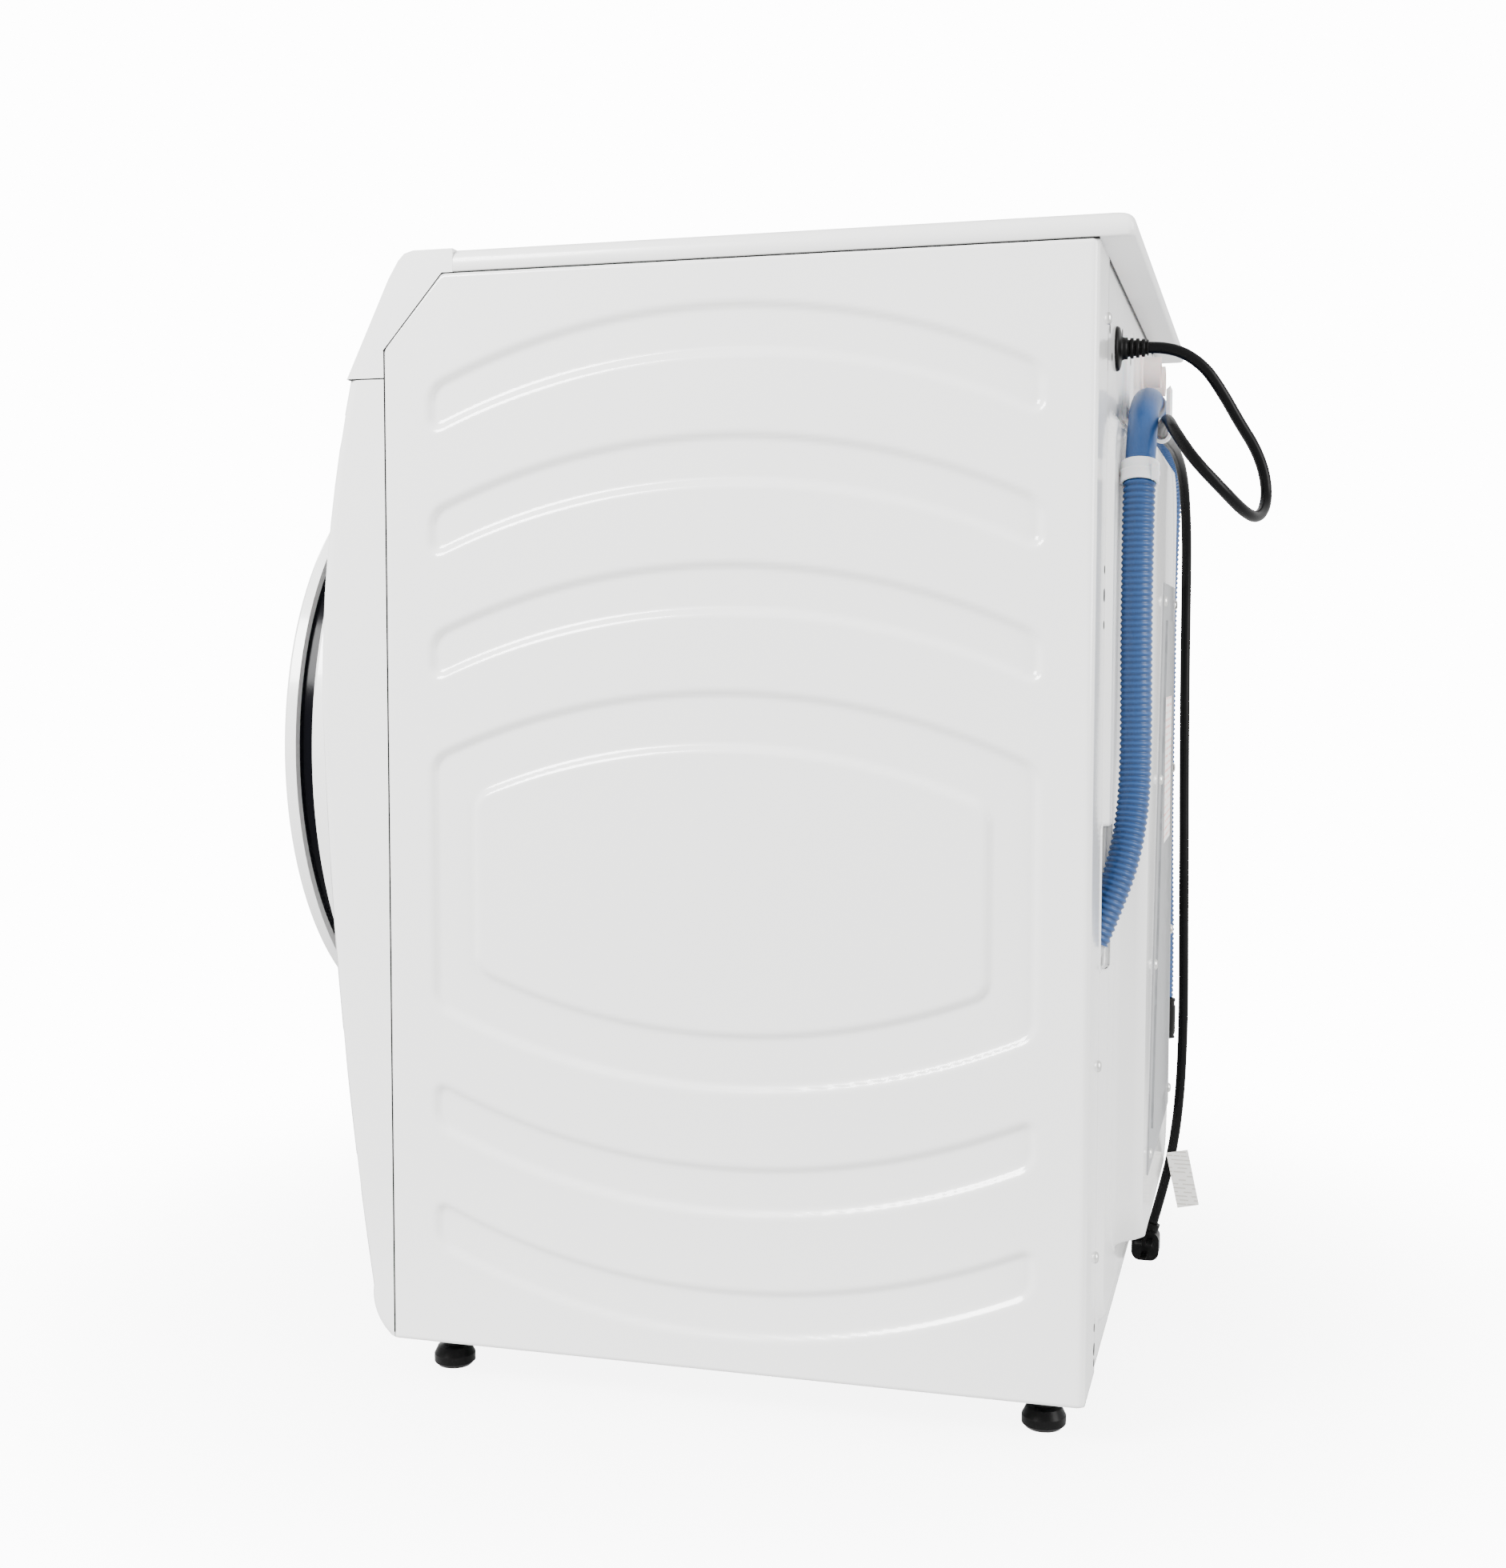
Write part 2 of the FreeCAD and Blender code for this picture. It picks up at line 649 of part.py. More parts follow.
# The frame under the worktop: a brace at the rear, a rail along each side, and a hook tab for each spring.
brace = block(
    "brace",
    ("-inner_x + corner_fold", "inner_x - corner_fold"),
    ("inside_y - 34", "inside_y"),
    ("cover_z - 22", "cover_z"),
)
rails = []
for side, sign in (("left", -1), ("right", 1)):
    low, high = ("-inner_x", "-inner_x + 10.5") if sign < 0 else ("inner_x - 10.5", "inner_x")
    rails.append(block(
        f"rail_{side}", (low, high), ("cover_front_y + 8", "inside_y - 20"), ("cover_z - 20", "cover_z")
    ))
    reach = ("-inner_x", "-spring_x + 12") if sign < 0 else ("spring_x - 12", "inner_x")
    rails.append(block(
        f"spring_tab_{side}", reach, ("spring_y - 10", "spring_y + 10"), ("cover_z - 24", "cover_z - 20")
    ))
node(join("top_frame", brace, *rails), "top_frame")

# ---------------------------------------------------------------- front


def face_profile(inset):
    """The front panel seen from the side: a closed outline whose front is two blended arcs."""
    y0, z0, z1 = v.seam_y, v.foot_gap + inset, v.console_z - 0.5 - inset
    top_y, crest_y, low_y = v.console_foot_y + inset, v.console_foot_y - 27 + inset, v.seam_y - 20 + inset
    crest_z, low_z = v.foot_gap + 0.67 * (v.console_z - v.foot_gap), v.foot_gap + 38
    toe_y, toe_z = v.seam_y - 6 + inset, v.foot_gap + inset

    def bow(a, b, swell):
        """The middle of an arc from a to b that swells forwards."""
        mid = (a + b) * 0.5
        along = (b - a).normalize()
        return mid + V(0, -along.z, along.y) * swell

    toe, low = V(0, toe_y, toe_z), V(0, low_y, low_z)
    crest, top = V(0, crest_y, crest_z), V(0, top_y, z1)
    edges = [
        Part.Arc(toe, bow(toe, low, 5), low).toShape(),
        Part.Arc(low, bow(low, crest, 7), crest).toShape(),
        Part.Arc(crest, bow(crest, top, 6.5), top).toShape(),
        Part.LineSegment(top, V(0, y0 + inset * 2, z1)).toShape(),
        Part.LineSegment(V(0, y0 + inset * 2, z1), V(0, y0 + inset * 2, z0)).toShape(),
        Part.LineSegment(V(0, y0 + inset * 2, z0), toe).toShape(),
    ]
    return wire_face(edges)


FILTER = {"half": 40, "low": 60, "high": 142, "pivot_y": 13.5, "pivot_z": 33}
LATCH_X, LATCH_HALF = 213, 9


def front_panel():
    """Moulded front: a swelling face, a circular collar and a funnel down to the laundry opening."""
    x, wall = v.half_x, v.moulding
    outer = face_profile(0)
    outer.translate(V(-x, 0, 0))
    shell = outer.extrude(V(2 * x, 0, 0))
    corners = [e for e in shell.Edges if e.BoundBox.XLength < 1e-6 and e.BoundBox.YMax < v.seam_y - 5.9]
    shell = shell.makeFillet(9, corners)
    room = face_profile(wall)
    room.translate(V(-x + wall, 0, 0))
    shell = shell.cut(room.extrude(V(2 * (x - wall), 0, 0)))
    r, crest, floor, mouth, back = v.collar_r, v.collar_y, v.recess_y, v.mouth_r, v.console_foot_y + 3
    outside = r + 5
    bore = Part.makeCylinder(outside - 1, 200, V(0, crest - 60, v.drum_z), V(0, 1, 0))
    collar = ring_solid(
        [
            (outside, back),
            (outside, crest + 3),
            (outside - 2.5, crest),
            (r - 2.5, crest),
            (r - 18, floor - 5),
            (r - 23, floor),
            (mouth, floor),
            (mouth, floor + wall),
            (r - 24, floor + wall),
            (r - 20.5, floor - 4 + wall),
            (r - 4, crest + wall),
            (outside - wall, crest + wall + 1),
            (outside - wall, back),
        ],
        v.drum_z,
    )
    shell = shell.cut(bore).fuse(collar)
    slot = Part.makeBox(26, 20, 2 * LATCH_HALF, V(LATCH_X - 9, floor - 8, v.drum_z - LATCH_HALF))
    f = FILTER
    window = Part.makeBox(
        2 * f["half"], 60, f["high"] - f["low"] + 4, V(v.pump_x - f["half"], -270, f["low"] - 4)
    )
    shell = shell.cut(slot).cut(window)
    pivot = V(0, v.seam_y - f["pivot_y"], f["pivot_z"] + v.foot_gap)
    for x0 in (v.pump_x - f["half"] - 4, v.pump_x + f["half"]):
        ear = Part.makeBox(4, 13, 14, V(x0, pivot.y - 5, pivot.z - 7))
        hole = Part.makeCylinder(2 + v.running, 12, V(x0 - 4, pivot.y, pivot.z), V(1, 0, 0))
        web = Part.makeBox(4, 16, 14, V(x0, pivot.y - 12, pivot.z - 7))
        web = web.common(outer.extrude(V(2 * v.half_x, 0, 0)))
        shell = shell.fuse(ear.fuse(web).cut(hole))
    return node(shaped("front_panel", shell.removeSplitter()), "front_panel")


front_panel()


def filter_door():
    """The small flap in front of the pump filter; its outside continues the front panel."""
    f, gap, wall = FILTER, 0.5, v.moulding
    x0, x1 = v.pump_x - f["half"] + gap, v.pump_x + f["half"] - gap
    outer, inner = face_profile(0), face_profile(wall)
    outer.translate(V(x0, 0, 0))
    inner.translate(V(x0, 0, 0))
    skin = outer.extrude(V(x1 - x0, 0, 0)).cut(inner.extrude(V(x1 - x0, 0, 0)))
    frame = Part.makeBox(x1 - x0, 30, f["high"] - f["low"] - gap, V(x0, v.seam_y - 36, f["low"]))
    leaf = skin.common(frame)
    y, z = v.seam_y - f["pivot_y"], f["pivot_z"] + v.foot_gap
    for a, reach in ((x0, -3.5), (x1 - 4, 3.5)):
        arm = Part.makeBox(4, 13, 7, V(a, y - 10, z - 3.5)).common(outer.extrude(V(x1 - x0, 0, 0)))
        eye = Part.makeCylinder(3.5, 4, V(a, y, z), V(1, 0, 0))
        pin = Part.makeCylinder(2, 4 + abs(reach), V(min(a, a + reach), y, z), V(1, 0, 0))
        leaf = leaf.fuse(arm.fuse(eye)).fuse(pin)
    return node(shaped("filter_door", leaf.removeSplitter()), "filter_door")


filter_door()

# Console: a sloping moulded face with openings for the drawer, knob, display and buttons.
LEAN = math.degrees(math.atan2(v.console_run, v.console_rise))
ALONG_SLOPE = FreeCAD.Rotation(V(1, 0, 0), -LEAN)
INTO_SLOPE = FreeCAD.Rotation(V(1, 0, 0), -LEAN - 90)


def on_slope(obj, x, up, deep, rotation):
    """Puts an object on the console face: up along the slope, deep behind it."""
    obj.Placement = FreeCAD.Placement(V(), rotation)
    return bind(
        obj,
        Placement__Base__x=x,
        Placement__Base__y=f"console_foot_y + ({up}) * lean_sin + ({deep}) * lean_cos",
        Placement__Base__z=f"console_z + ({up}) * lean_cos - ({deep}) * lean_sin",
    )


def slope_box(name, x, up, deep):
    """A box square to the console face, from three (low, high) pairs."""
    box = doc.addObject("Part::Box", name)
    sides = (("Length", x), ("Width", deep), ("Height", up))
    for prop, (low, high) in sides:
        box.setExpression(prop, known(f"({high}) - ({low})"))
    return on_slope(box, x[0], up[0], deep[0], ALONG_SLOPE)


def slope_rod(name, radius, x, up, deep):
    cylinder = doc.addObject("Part::Cylinder", name)
    bind(cylinder, Radius=radius, Height=f"({deep[1]}) - ({deep[0]})")
    return on_slope(cylinder, x, up, deep[0], INTO_SLOPE)


MID = "slope_len / 2"
DRAWER_X = ("-half_x + 15.5", "-half_x + 15.5 + drawer_w")
DRAWER_Z = ("console_z + 8", "console_z + 68")
BUTTONS = {"option_button": "135", "start_button": "190", "power_button": "250"}
console_skin = padded(
    "console_skin",
    [
        ("seam_y", "console_z"),
        ("console_foot_y", "console_z"),
        ("console_foot_y + console_run", "console_z + console_rise"),
        ("console_foot_y + console_run + 8", "height - 7"),
        ("console_foot_y + console_run + 13", "height - 2"),
        ("console_foot_y + console_run + 20", "height"),
        ("cover_front_y", "height"),
        ("cover_front_y", "cover_z"),
        (f"seam_y + {CHEEK_RUN}", "cover_z"),
        ("seam_y", f"cover_z - {CHEEK_RISE}"),
    ],
    "-half_x",
    "width",
)
console_room = padded(
    "console_room",
    [
        ("seam_y + 1", "console_z - 1"),
        ("console_foot_y + 2.2", "console_z - 1"),
        ("console_foot_y + console_run + 2.7", "console_z + console_rise - 1"),
        ("console_foot_y + console_run + 9.5", "height - 9.5"),
        ("console_foot_y + console_run + 14", "height - 4.5"),
        ("console_foot_y + console_run + 20", "height - moulding"),
        ("cover_front_y + 1", "height - moulding"),
        ("cover_front_y + 1", "cover_z - 1"),
        (f"seam_y + {CHEEK_RUN + 2}", "cover_z - 1"),
        ("seam_y + 1", f"cover_z - {CHEEK_RISE} - 2"),
    ],
    "-half_x + moulding",
    "width - 2 * moulding",
)
drawer_gate = block(
    "drawer_gate",
    (DRAWER_X[0] + " - 0.8", DRAWER_X[1] + " + 0.8"),
    ("console_foot_y - 5", "seam_y + 30"),
    (DRAWER_Z[0] + " - 0.8", DRAWER_Z[1] + " + 0.8"),
)
gates = [
    slope_box(
        f"{k}_gate",
        (f"{x} - button_w / 2 - 0.3", f"{x} + button_w / 2 + 0.3"),
        (MID + " - 7.3", MID + " + 7.3"),
        ("-2", "8"),
    )
    for k, x in BUTTONS.items()
]
gates.append(slope_rod("knob_gate", "4.3", "0", MID, ("-2", "8")))
gates.append(slope_box("display_gate", ("44.7", "105.3"), (MID + " - 15.3", MID + " + 15.3"), ("-1", "1.2")))
node(cut("console_shell", console_skin, console_room, drawer_gate, *gates), "console")
node(slope_box("display", ("45", "105"), (MID + " - 15", MID + " + 15"), ("0.1", "1.2")), "display_window")

KNOB_REACH = ("-18", "-0.4")
knob_cap = slope_rod("knob_cap", "knob_r", "0", MID, KNOB_REACH)
knob_stem = slope_rod("knob_stem", "4", "0", MID, ("-1", "12"))
knob_mark = slope_box("knob_mark", ("-1", "1"), (MID + " + 9", MID + " + knob_r - 2"), ("-19", "-17.5"))
node(cut("program_knob", join("knob_body", knob_cap, knob_stem), knob_mark), "program_knob")

for label, x in BUTTONS.items():
    cap = slope_box(
        f"{label}_cap",
        (f"{x} - button_w / 2", f"{x} + button_w / 2"),
        (MID + " - 7", MID + " + 7"),
        ("-2", "6"),
    )
    node(cap, label)

# Detergent drawer and the housing it slides in.
SLOPE = "console_run / console_rise"
drawer_front = f"console_foot_y + 8 * {SLOPE}"
drawer_lip = f"console_foot_y + 68 * {SLOPE}"
drawer_block = padded(
    "drawer_block",
    [
        (drawer_front, DRAWER_Z[0]),
        (drawer_lip, DRAWER_Z[1]),
        (drawer_lip + " + 5", DRAWER_Z[1]),
        (f"console_foot_y + 54 * {SLOPE} + 5", "console_z + 54"),
        (drawer_front + " + drawer_depth", "console_z + 54"),
        (drawer_front + " + drawer_depth", DRAWER_Z[0]),
    ],
    DRAWER_X[0],
    "drawer_w",
)
CUPS = [("moulding", "60"), ("60 + moulding", "108"), ("108 + moulding", "drawer_w - moulding")]
cups = [
    block(
        f"cup_{i}",
        (f"{DRAWER_X[0]} + {a}", f"{DRAWER_X[0]} + {b}"),
        ("seam_y + 8", drawer_front + " + drawer_depth - moulding"),
        (DRAWER_Z[0] + " + moulding", "console_z + 60"),
    )
    for i, (a, b) in enumerate(CUPS)
]
node(cut("drawer_tray", drawer_block, *cups), "detergent_drawer")

HOUSING_Z = ("console_z + 5", "cover_z - 4")
HOUSING_Y = ("seam_y + 14", drawer_front + " + drawer_depth + 22")
OUTLET = ("-190", "-60")
housing_shell = block(
    "housing_shell", (DRAWER_X[0] + " - 3.5", DRAWER_X[1] + " + 3.5"), HOUSING_Y, HOUSING_Z
)
housing_room = block(
    "housing_room",
    (DRAWER_X[0] + " - 0.5", DRAWER_X[1] + " + 0.5"),
    ("seam_y + 13", HOUSING_Y[1] + " - moulding"),
    (DRAWER_Z[0] + " - fit_gap", HOUSING_Z[1] + " - moulding"),
)
outlet = rod("housing_outlet", "18", "20", OUTLET[0], OUTLET[1], "console_z - 13")
outlet_bore = rod("housing_outlet_bore", "15", "24", OUTLET[0], OUTLET[1], "console_z - 14")
housing = cut("housing_box", join("housing_solid", housing_shell, outlet), housing_room, outlet_bore)
node(housing, "dispenser_housing")

# Water inlet valve with two threaded spouts and the tube to the dispenser.
valve_body = block(
    "valve_body",
    (f"{INLET_X - INLET_STEP} - 17", f"{INLET_X} + 17"),
    ("inside_y - 50", "inside_y"),
    (f"{INLET_Z} - 17", f"{INLET_Z} + 13"),
)
spouts = []
spout_bores = []
for i, x in enumerate((INLET_X, INLET_X - INLET_STEP)):
    spouts.append(rod(f"spout_{i}", "spigot_r", "18", x, "inside_y", INLET_Z, "y"))
    spout_bores.append(rod(f"spout_bore_{i}", "9", "30", x, "inside_y - 10", INLET_Z, "y"))
TUBE_X = "-125"
fill_tube = rod("fill_tube", "8", f"inside_y - 49 - ({HOUSING_Y[1]})", TUBE_X, HOUSING_Y[1], INLET_Z, "y")
node(cut("valve", join("valve_solid", valve_body, *spouts, fill_tube), *spout_bores), "inlet_valve")

# ---------------------------------------------------------------- door

ring = turned(
    "door_ring_body",
    [
        ("door_r", "ring_back_y"),
        ("door_r", "ring_back_y - 8"),
        ("door_r - 3.5", "ring_back_y - 11.5"),
        ("door_r - 18", "front_y"),
        ("window_r + 28", "front_y"),
        ("window_r + 8", "ring_back_y - 9"),
        ("window_r", "ring_back_y - 5.5"),
        ("window_r", "ring_back_y - 3"),
        ("window_r + 10 + fit_gap", "ring_back_y - 3"),
        ("window_r + 10 + fit_gap", "ring_back_y"),
    ],
)
node(ring, "door_ring")
node(rod("window_disc", "window_r + 10", "3", "0", "ring_back_y - 3", "drum_z", "y"), "door_window")

BACK = "recess_y - 4"
body_dish = turned(
    "body_dish",
    [
        ("door_r - 6.5", "ring_back_y"),
        ("door_r - 6.5", BACK + " - 4"),
        ("door_r - 10.5", BACK),
        ("window_r - 2", BACK),
        ("window_r - 2", BACK + " - 3"),
        ("door_r - 12", BACK + " - 3"),
        ("door_r - 9", BACK + " - 6"),
        ("door_r - 9", "ring_back_y"),
    ],
)
hinge_gap = block(
    "hinge_gap",
    ("hinge_x - 20", "hinge_x + 33"),
    ("ring_back_y - 1", BACK + " + 1"),
    ("drum_z - 62", "drum_z + 62"),
)
latch_gap = block(
    "latch_gap",
    (f"{LATCH_X} - 8", f"{LATCH_X} + 7"),
    (BACK + " - 4", BACK + " + 1"),
    ("drum_z - 6.5", "drum_z + 6.5"),
)
ears = []
PIVOT_Y = BACK + " - 14"
for sign in ("-", "+"):
    low = f"drum_z {sign} {11 if sign == '-' else 6}"
    ears.append(block(
        f"ear_{len(ears)}",
        (f"{LATCH_X} - 6", f"{LATCH_X} + 6"),
        (BACK + " - 20", BACK + " - 2"),
        (low, low + " + 5"),
    ))
ear_bore = rod("ear_bore", "2 + running", "30", str(LATCH_X), PIVOT_Y, "drum_z - 15")
shell = cut(
    "door_shell", join("door_solid", cut("door_dish", body_dish, hinge_gap, latch_gap), *ears), ear_bore
)
node(shell, "door_body")

node(
    turned(
        "inner_frame",
        [
            ("window_r + 4", "ring_back_y"),
            ("window_r + 25", "ring_back_y"),
            ("window_r + 25", "ring_back_y + 2.5"),
            ("window_r + 17", "ring_back_y + 2.5"),
            ("window_r + 17", BACK + " - 7"),
            ("window_r + 13", BACK + " - 7"),
            ("window_r + 13", "ring_back_y + 2.5"),
            ("window_r + 4", "ring_back_y + 2.5"),
        ],
    ),
    "door_frame",
)
node(
    turned(
        "glass_bowl",
        [
            ("window_r + 26", BACK + " - 3"),
            ("window_r - 4", BACK + " - 3"),
            ("window_r - 8", BACK + " + 24"),
            ("window_r - 18", BACK + " + 59"),
            ("window_r - 33", BACK + " + 76"),
            ("window_r - 58", BACK + " + 83"),
            ("0", BACK + " + 85"),
            ("0", BACK + " + 81"),
            ("window_r - 60", BACK + " + 79"),
            ("window_r - 36", BACK + " + 72"),
            ("window_r - 22", BACK + " + 56"),
            ("window_r - 12", BACK + " + 22"),
            ("window_r - 8", BACK + " - 7"),
            ("window_r + 26", BACK + " - 7"),
        ],
    ),
    "door_glass",
)

hook_arm = block(
    "hook_arm",
    (f"{LATCH_X} - 4", f"{LATCH_X} + 4"),
    (BACK + " - 19", BACK + " + 24"),
    ("drum_z - 5", "drum_z + 5"),
)
hook_barb = block(
    "hook_barb",
    (f"{LATCH_X} + 3", f"{LATCH_X} + 8"),
    (BACK + " + 17", BACK + " + 24"),
    ("drum_z - 5", "drum_z + 5"),
)
hook_pin = rod("hook_pin", "2", "21", str(LATCH_X), PIVOT_Y, "drum_z - 10.5")
node(join("hook", hook_arm, hook_barb, hook_pin), "door_hook")

lock_case = block(
    "lock_case",
    (f"{LATCH_X} - 13", f"{LATCH_X} + 25"),
    ("recess_y + moulding", "recess_y + 27"),
    ("drum_z - 35", "drum_z + 35"),
)
lock_room = block(
    "lock_room",
    (f"{LATCH_X} - 9", f"{LATCH_X} + 17"),
    ("recess_y + moulding - 1", "recess_y + 24"),
    (f"drum_z - {LATCH_HALF}", f"drum_z + {LATCH_HALF}"),
)
node(cut("lock", lock_case, lock_room), "door_lock")

# Hinge: a bracket with its riveted pin on the cabinet, and a leaf behind the door ring.
KNUCKLE = "pin_r + 2.5"
knuckle = rod("knuckle", KNUCKLE, "2 * hinge_half", "hinge_x", "hinge_y", "drum_z - hinge_half")
gooseneck = block(
    "gooseneck",
    ("hinge_x", "hinge_x + 18"),
    ("hinge_y - 3", "hinge_y + 3"),
    ("drum_z - hinge_half", "drum_z + hinge_half"),
)
stalk = block(
    "stalk",
    ("hinge_x + 12", "hinge_x + 18"),
    ("hinge_y - 3", "recess_y"),
    ("drum_z - hinge_half", "drum_z + hinge_half"),
)
foot_plate = block(
    "foot_plate",
    ("hinge_x + 2", "hinge_x + 36"),
    ("recess_y - 3", "recess_y"),
    ("drum_z - hinge_half - 20", "drum_z + hinge_half + 20"),
)
pin = rod("hinge_pin", "pin_r", "2 * hinge_half + 30", "hinge_x", "hinge_y", "drum_z - hinge_half - 15")
node(join("bracket", knuckle, gooseneck, stalk, foot_plate, pin), "hinge_bracket")

leaf_plate = block(
    "leaf_plate",
    ("hinge_x - 5", "hinge_x + 32"),
    ("ring_back_y", "ring_back_y + 3"),
    ("drum_z - hinge_half - 20", "drum_z + hinge_half + 20"),
)
leaf_parts = [leaf_plate]
for sign in ("-", "+"):
    low = "drum_z - hinge_half - 15" if sign == "-" else "drum_z + hinge_half + 0.5"
    leaf_parts.append(rod(f"leaf_knuckle_{len(leaf_parts)}", KNUCKLE, "14.5", "hinge_x", "hinge_y", low))
    leaf_parts.append(
        block(
            f"leaf_web_{len(leaf_parts)}",
            ("hinge_x - 5", "hinge_x + 5"),
            ("ring_back_y", "hinge_y"),
            (low, low + " + 14.5"),
        )
    )
leaf_bore = rod(
    "leaf_bore", "pin_r + running", "2 * hinge_half + 60", "hinge_x", "hinge_y", "drum_z - hinge_half - 30"
)
ring_edge = rod("ring_edge", "door_r - 1", "30", "0", "ring_back_y - 1", "drum_z", "y")
leaf_trim = doc.addObject("Part::MultiCommon", "leaf_trim")
leaf_trim.Shapes = [join("leaf_solid", *leaf_parts), ring_edge]
node(cut("leaf", leaf_trim, leaf_bore), "hinge_leaf")

NECK_Y = "tub_front_y - 18"
node(
    turned(
        "gasket",
        [
            ("mouth_r - 11", "recess_y - 3"),
            ("mouth_r + 6", "recess_y - 3"),
            ("mouth_r + 6", "recess_y"),
            ("mouth_r - fit_gap", "recess_y"),
            ("mouth_r - fit_gap", "recess_y + 8"),
            ("mouth_r + 5", "recess_y + 14"),
            ("mouth_r + 5", "recess_y + 24"),
            ("mouth_r - 2", "recess_y + 30"),
            ("mouth_r + 3", NECK_Y),
            ("mouth_r", NECK_Y),
            ("mouth_r - 5", "recess_y + 30"),
            ("mouth_r + 2", "recess_y + 22"),
            ("mouth_r + 2", "recess_y + 16"),
            ("mouth_r - 3.5", "recess_y + 10"),
            ("mouth_r - 3.5", "recess_y"),
            ("mouth_r - 11", "recess_y"),
        ],
    ),
    "door_gasket",
)

# ---------------------------------------------------------------- washing unit

front_shell = turned(
    "tub_front_shell",
    [
        ("mouth_r", NECK_Y),
        ("mouth_r + 3", NECK_Y),
        ("mouth_r + 3", "tub_front_y"),
        ("tub_r", "tub_front_y"),
        ("tub_r", "tub_seam_y - 6"),
        ("tub_r + 8", "tub_seam_y - 6"),
        ("tub_r + 8", "tub_seam_y"),
        ("tub_r - tub_wall", "tub_seam_y"),
        ("tub_r - tub_wall", "tub_front_y + tub_wall"),
        ("mouth_r", "tub_front_y + tub_wall"),
    ],
)
SPRING_FOOT = {"x": "spring_x - spring_lean", "z": "cover_z - 192"}


def span(sign, low, high):
    """The (low, high) pair of a right-hand piece, mirrored when the sign is a minus."""
    return (f"-({high})", f"-({low})") if sign else (low, high)


lugs = []
spring_lugs = []
for side, sign in (("left", "-"), ("right", "")):
    lug_x = span(sign, SPRING_FOOT["x"] + " - 15", SPRING_FOOT["x"] + " + 8")
    lug_z = (SPRING_FOOT["z"] + " - 14", SPRING_FOOT["z"])
    spring_lugs.append(block(f"spring_lug_{side}", lug_x, ("spring_y - 8", "spring_y + 8"), lug_z))
    ear_x = span(sign, "damper_top_x - 9", "damper_top_x + 9")
    for i, y in enumerate((("-12", "-7"), ("7", "12"))):
        lugs.append(block(f"damper_ear_{side}_{i}", ear_x, y, ("damper_top_z - 9", "damper_top_z + 62")))
    pin_x = sign + "damper_top_x"
    lugs.append(rod(f"damper_pin_{side}", "4", "20", pin_x, "-10", "damper_top_z", "y"))
inlet_neck = rod("inlet_neck", "18", "100", OUTLET[0], OUTLET[1], "drum_z + 115")
sump_neck = rod("sump_neck", "21", "110", "pump_x", "-100", "pump_z + 100")
inlet_bore = rod("inlet_bore", "15", "140", OUTLET[0], OUTLET[1], "drum_z + 110")
sump_bore = rod("sump_bore", "18", "130", "pump_x", "-100", "pump_z + 90")
front_solid = join("tub_front_solid", front_shell, *lugs, inlet_neck, sump_neck)
front_room = rod(
    "tub_front_room",
    "tub_r - tub_wall",
    "tub_seam_y - tub_front_y - tub_wall",
    "0",
    "tub_front_y + tub_wall",
    "drum_z",
    "y",
)
node(cut("tub_front_half", front_solid, front_room, inlet_bore, sump_bore), "tub_front")

rear_shell = turned(
    "tub_rear_shell",
    [
        ("tub_r - tub_wall", "tub_seam_y"),
        ("tub_r + 8", "tub_seam_y"),
        ("tub_r + 8", "tub_seam_y + 6"),
        ("tub_r", "tub_seam_y + 6"),
        ("tub_r", "tub_back_y"),
        ("bearing_r + 11", "tub_back_y"),
        ("bearing_r + 11", "tub_back_y + 31"),
        ("bearing_r", "tub_back_y + 31"),
        ("bearing_r", "tub_back_y - 9"),
        ("bearing_r + 7", "tub_back_y - 9"),
        ("bearing_r + 7", "tub_back_y - tub_wall"),
        ("tub_r - tub_wall", "tub_back_y - tub_wall"),
    ],
)
MOTOR_TOP = "drum_z - tub_r - 5"
MOTOR_Y = ("tub_back_y - 113", "tub_back_y - 3")
hangers = []
straps = []
for i, y in enumerate((14, 78)):
    place_y = (f"{MOTOR_Y[0]} + {y}", f"{MOTOR_Y[0]} + {y + 20}")
    hangers.append(block(
        f"hanger_{i}", ("motor_x - 15", "motor_x + 15"), place_y, (MOTOR_TOP, "drum_z - tub_r + 25")
    ))
    straps.append(block(f"strap_{i}", ("motor_x - 15", "motor_x + 15"), place_y, ("motor_z", MOTOR_TOP)))
rear_room = rod(
    "tub_rear_room",
    "tub_r - tub_wall",
    "tub_back_y - tub_seam_y - tub_wall",
    "0",
    "tub_seam_y",
    "drum_z",
    "y",
)
rear_lugs = cut("rear_lugs", join("rear_lug_blocks", *hangers, *spring_lugs), rear_room)
node(join("tub_rear_half", rear_shell, rear_lugs), "tub_rear")

bearings = [
    turned(
        f"bearing_{i}",
        [
            ("shaft_r + running", f"tub_back_y + {a}"),
            ("bearing_r - running", f"tub_back_y + {a}"),
            ("bearing_r - running", f"tub_back_y + {a + 12}"),
            ("shaft_r + running", f"tub_back_y + {a + 12}"),
        ],
    )
    for i, a in enumerate((-6, 19))
]
node(gather("bearing_pair", *bearings), "drum_bearings")

DRUM_SKIN = 1.2
node(
    turned(
        "drum_shell",
        [
            ("mouth_r - 10", "drum_front_y - 11"),
            (f"mouth_r - 10 + {DRUM_SKIN}", "drum_front_y - 11"),
            (f"mouth_r - 10 + {DRUM_SKIN}", "drum_front_y"),
            ("drum_r", "drum_front_y"),
            ("drum_r", "drum_back_y"),
            ("0", "drum_back_y"),
            ("0", f"drum_back_y - {DRUM_SKIN}"),
            (f"drum_r - {DRUM_SKIN}", f"drum_back_y - {DRUM_SKIN}"),
            (f"drum_r - {DRUM_SKIN}", f"drum_front_y + {DRUM_SKIN}"),
            ("mouth_r - 10", f"drum_front_y + {DRUM_SKIN}"),
        ],
    ),
    "drum",
)

LIFTERS = 3


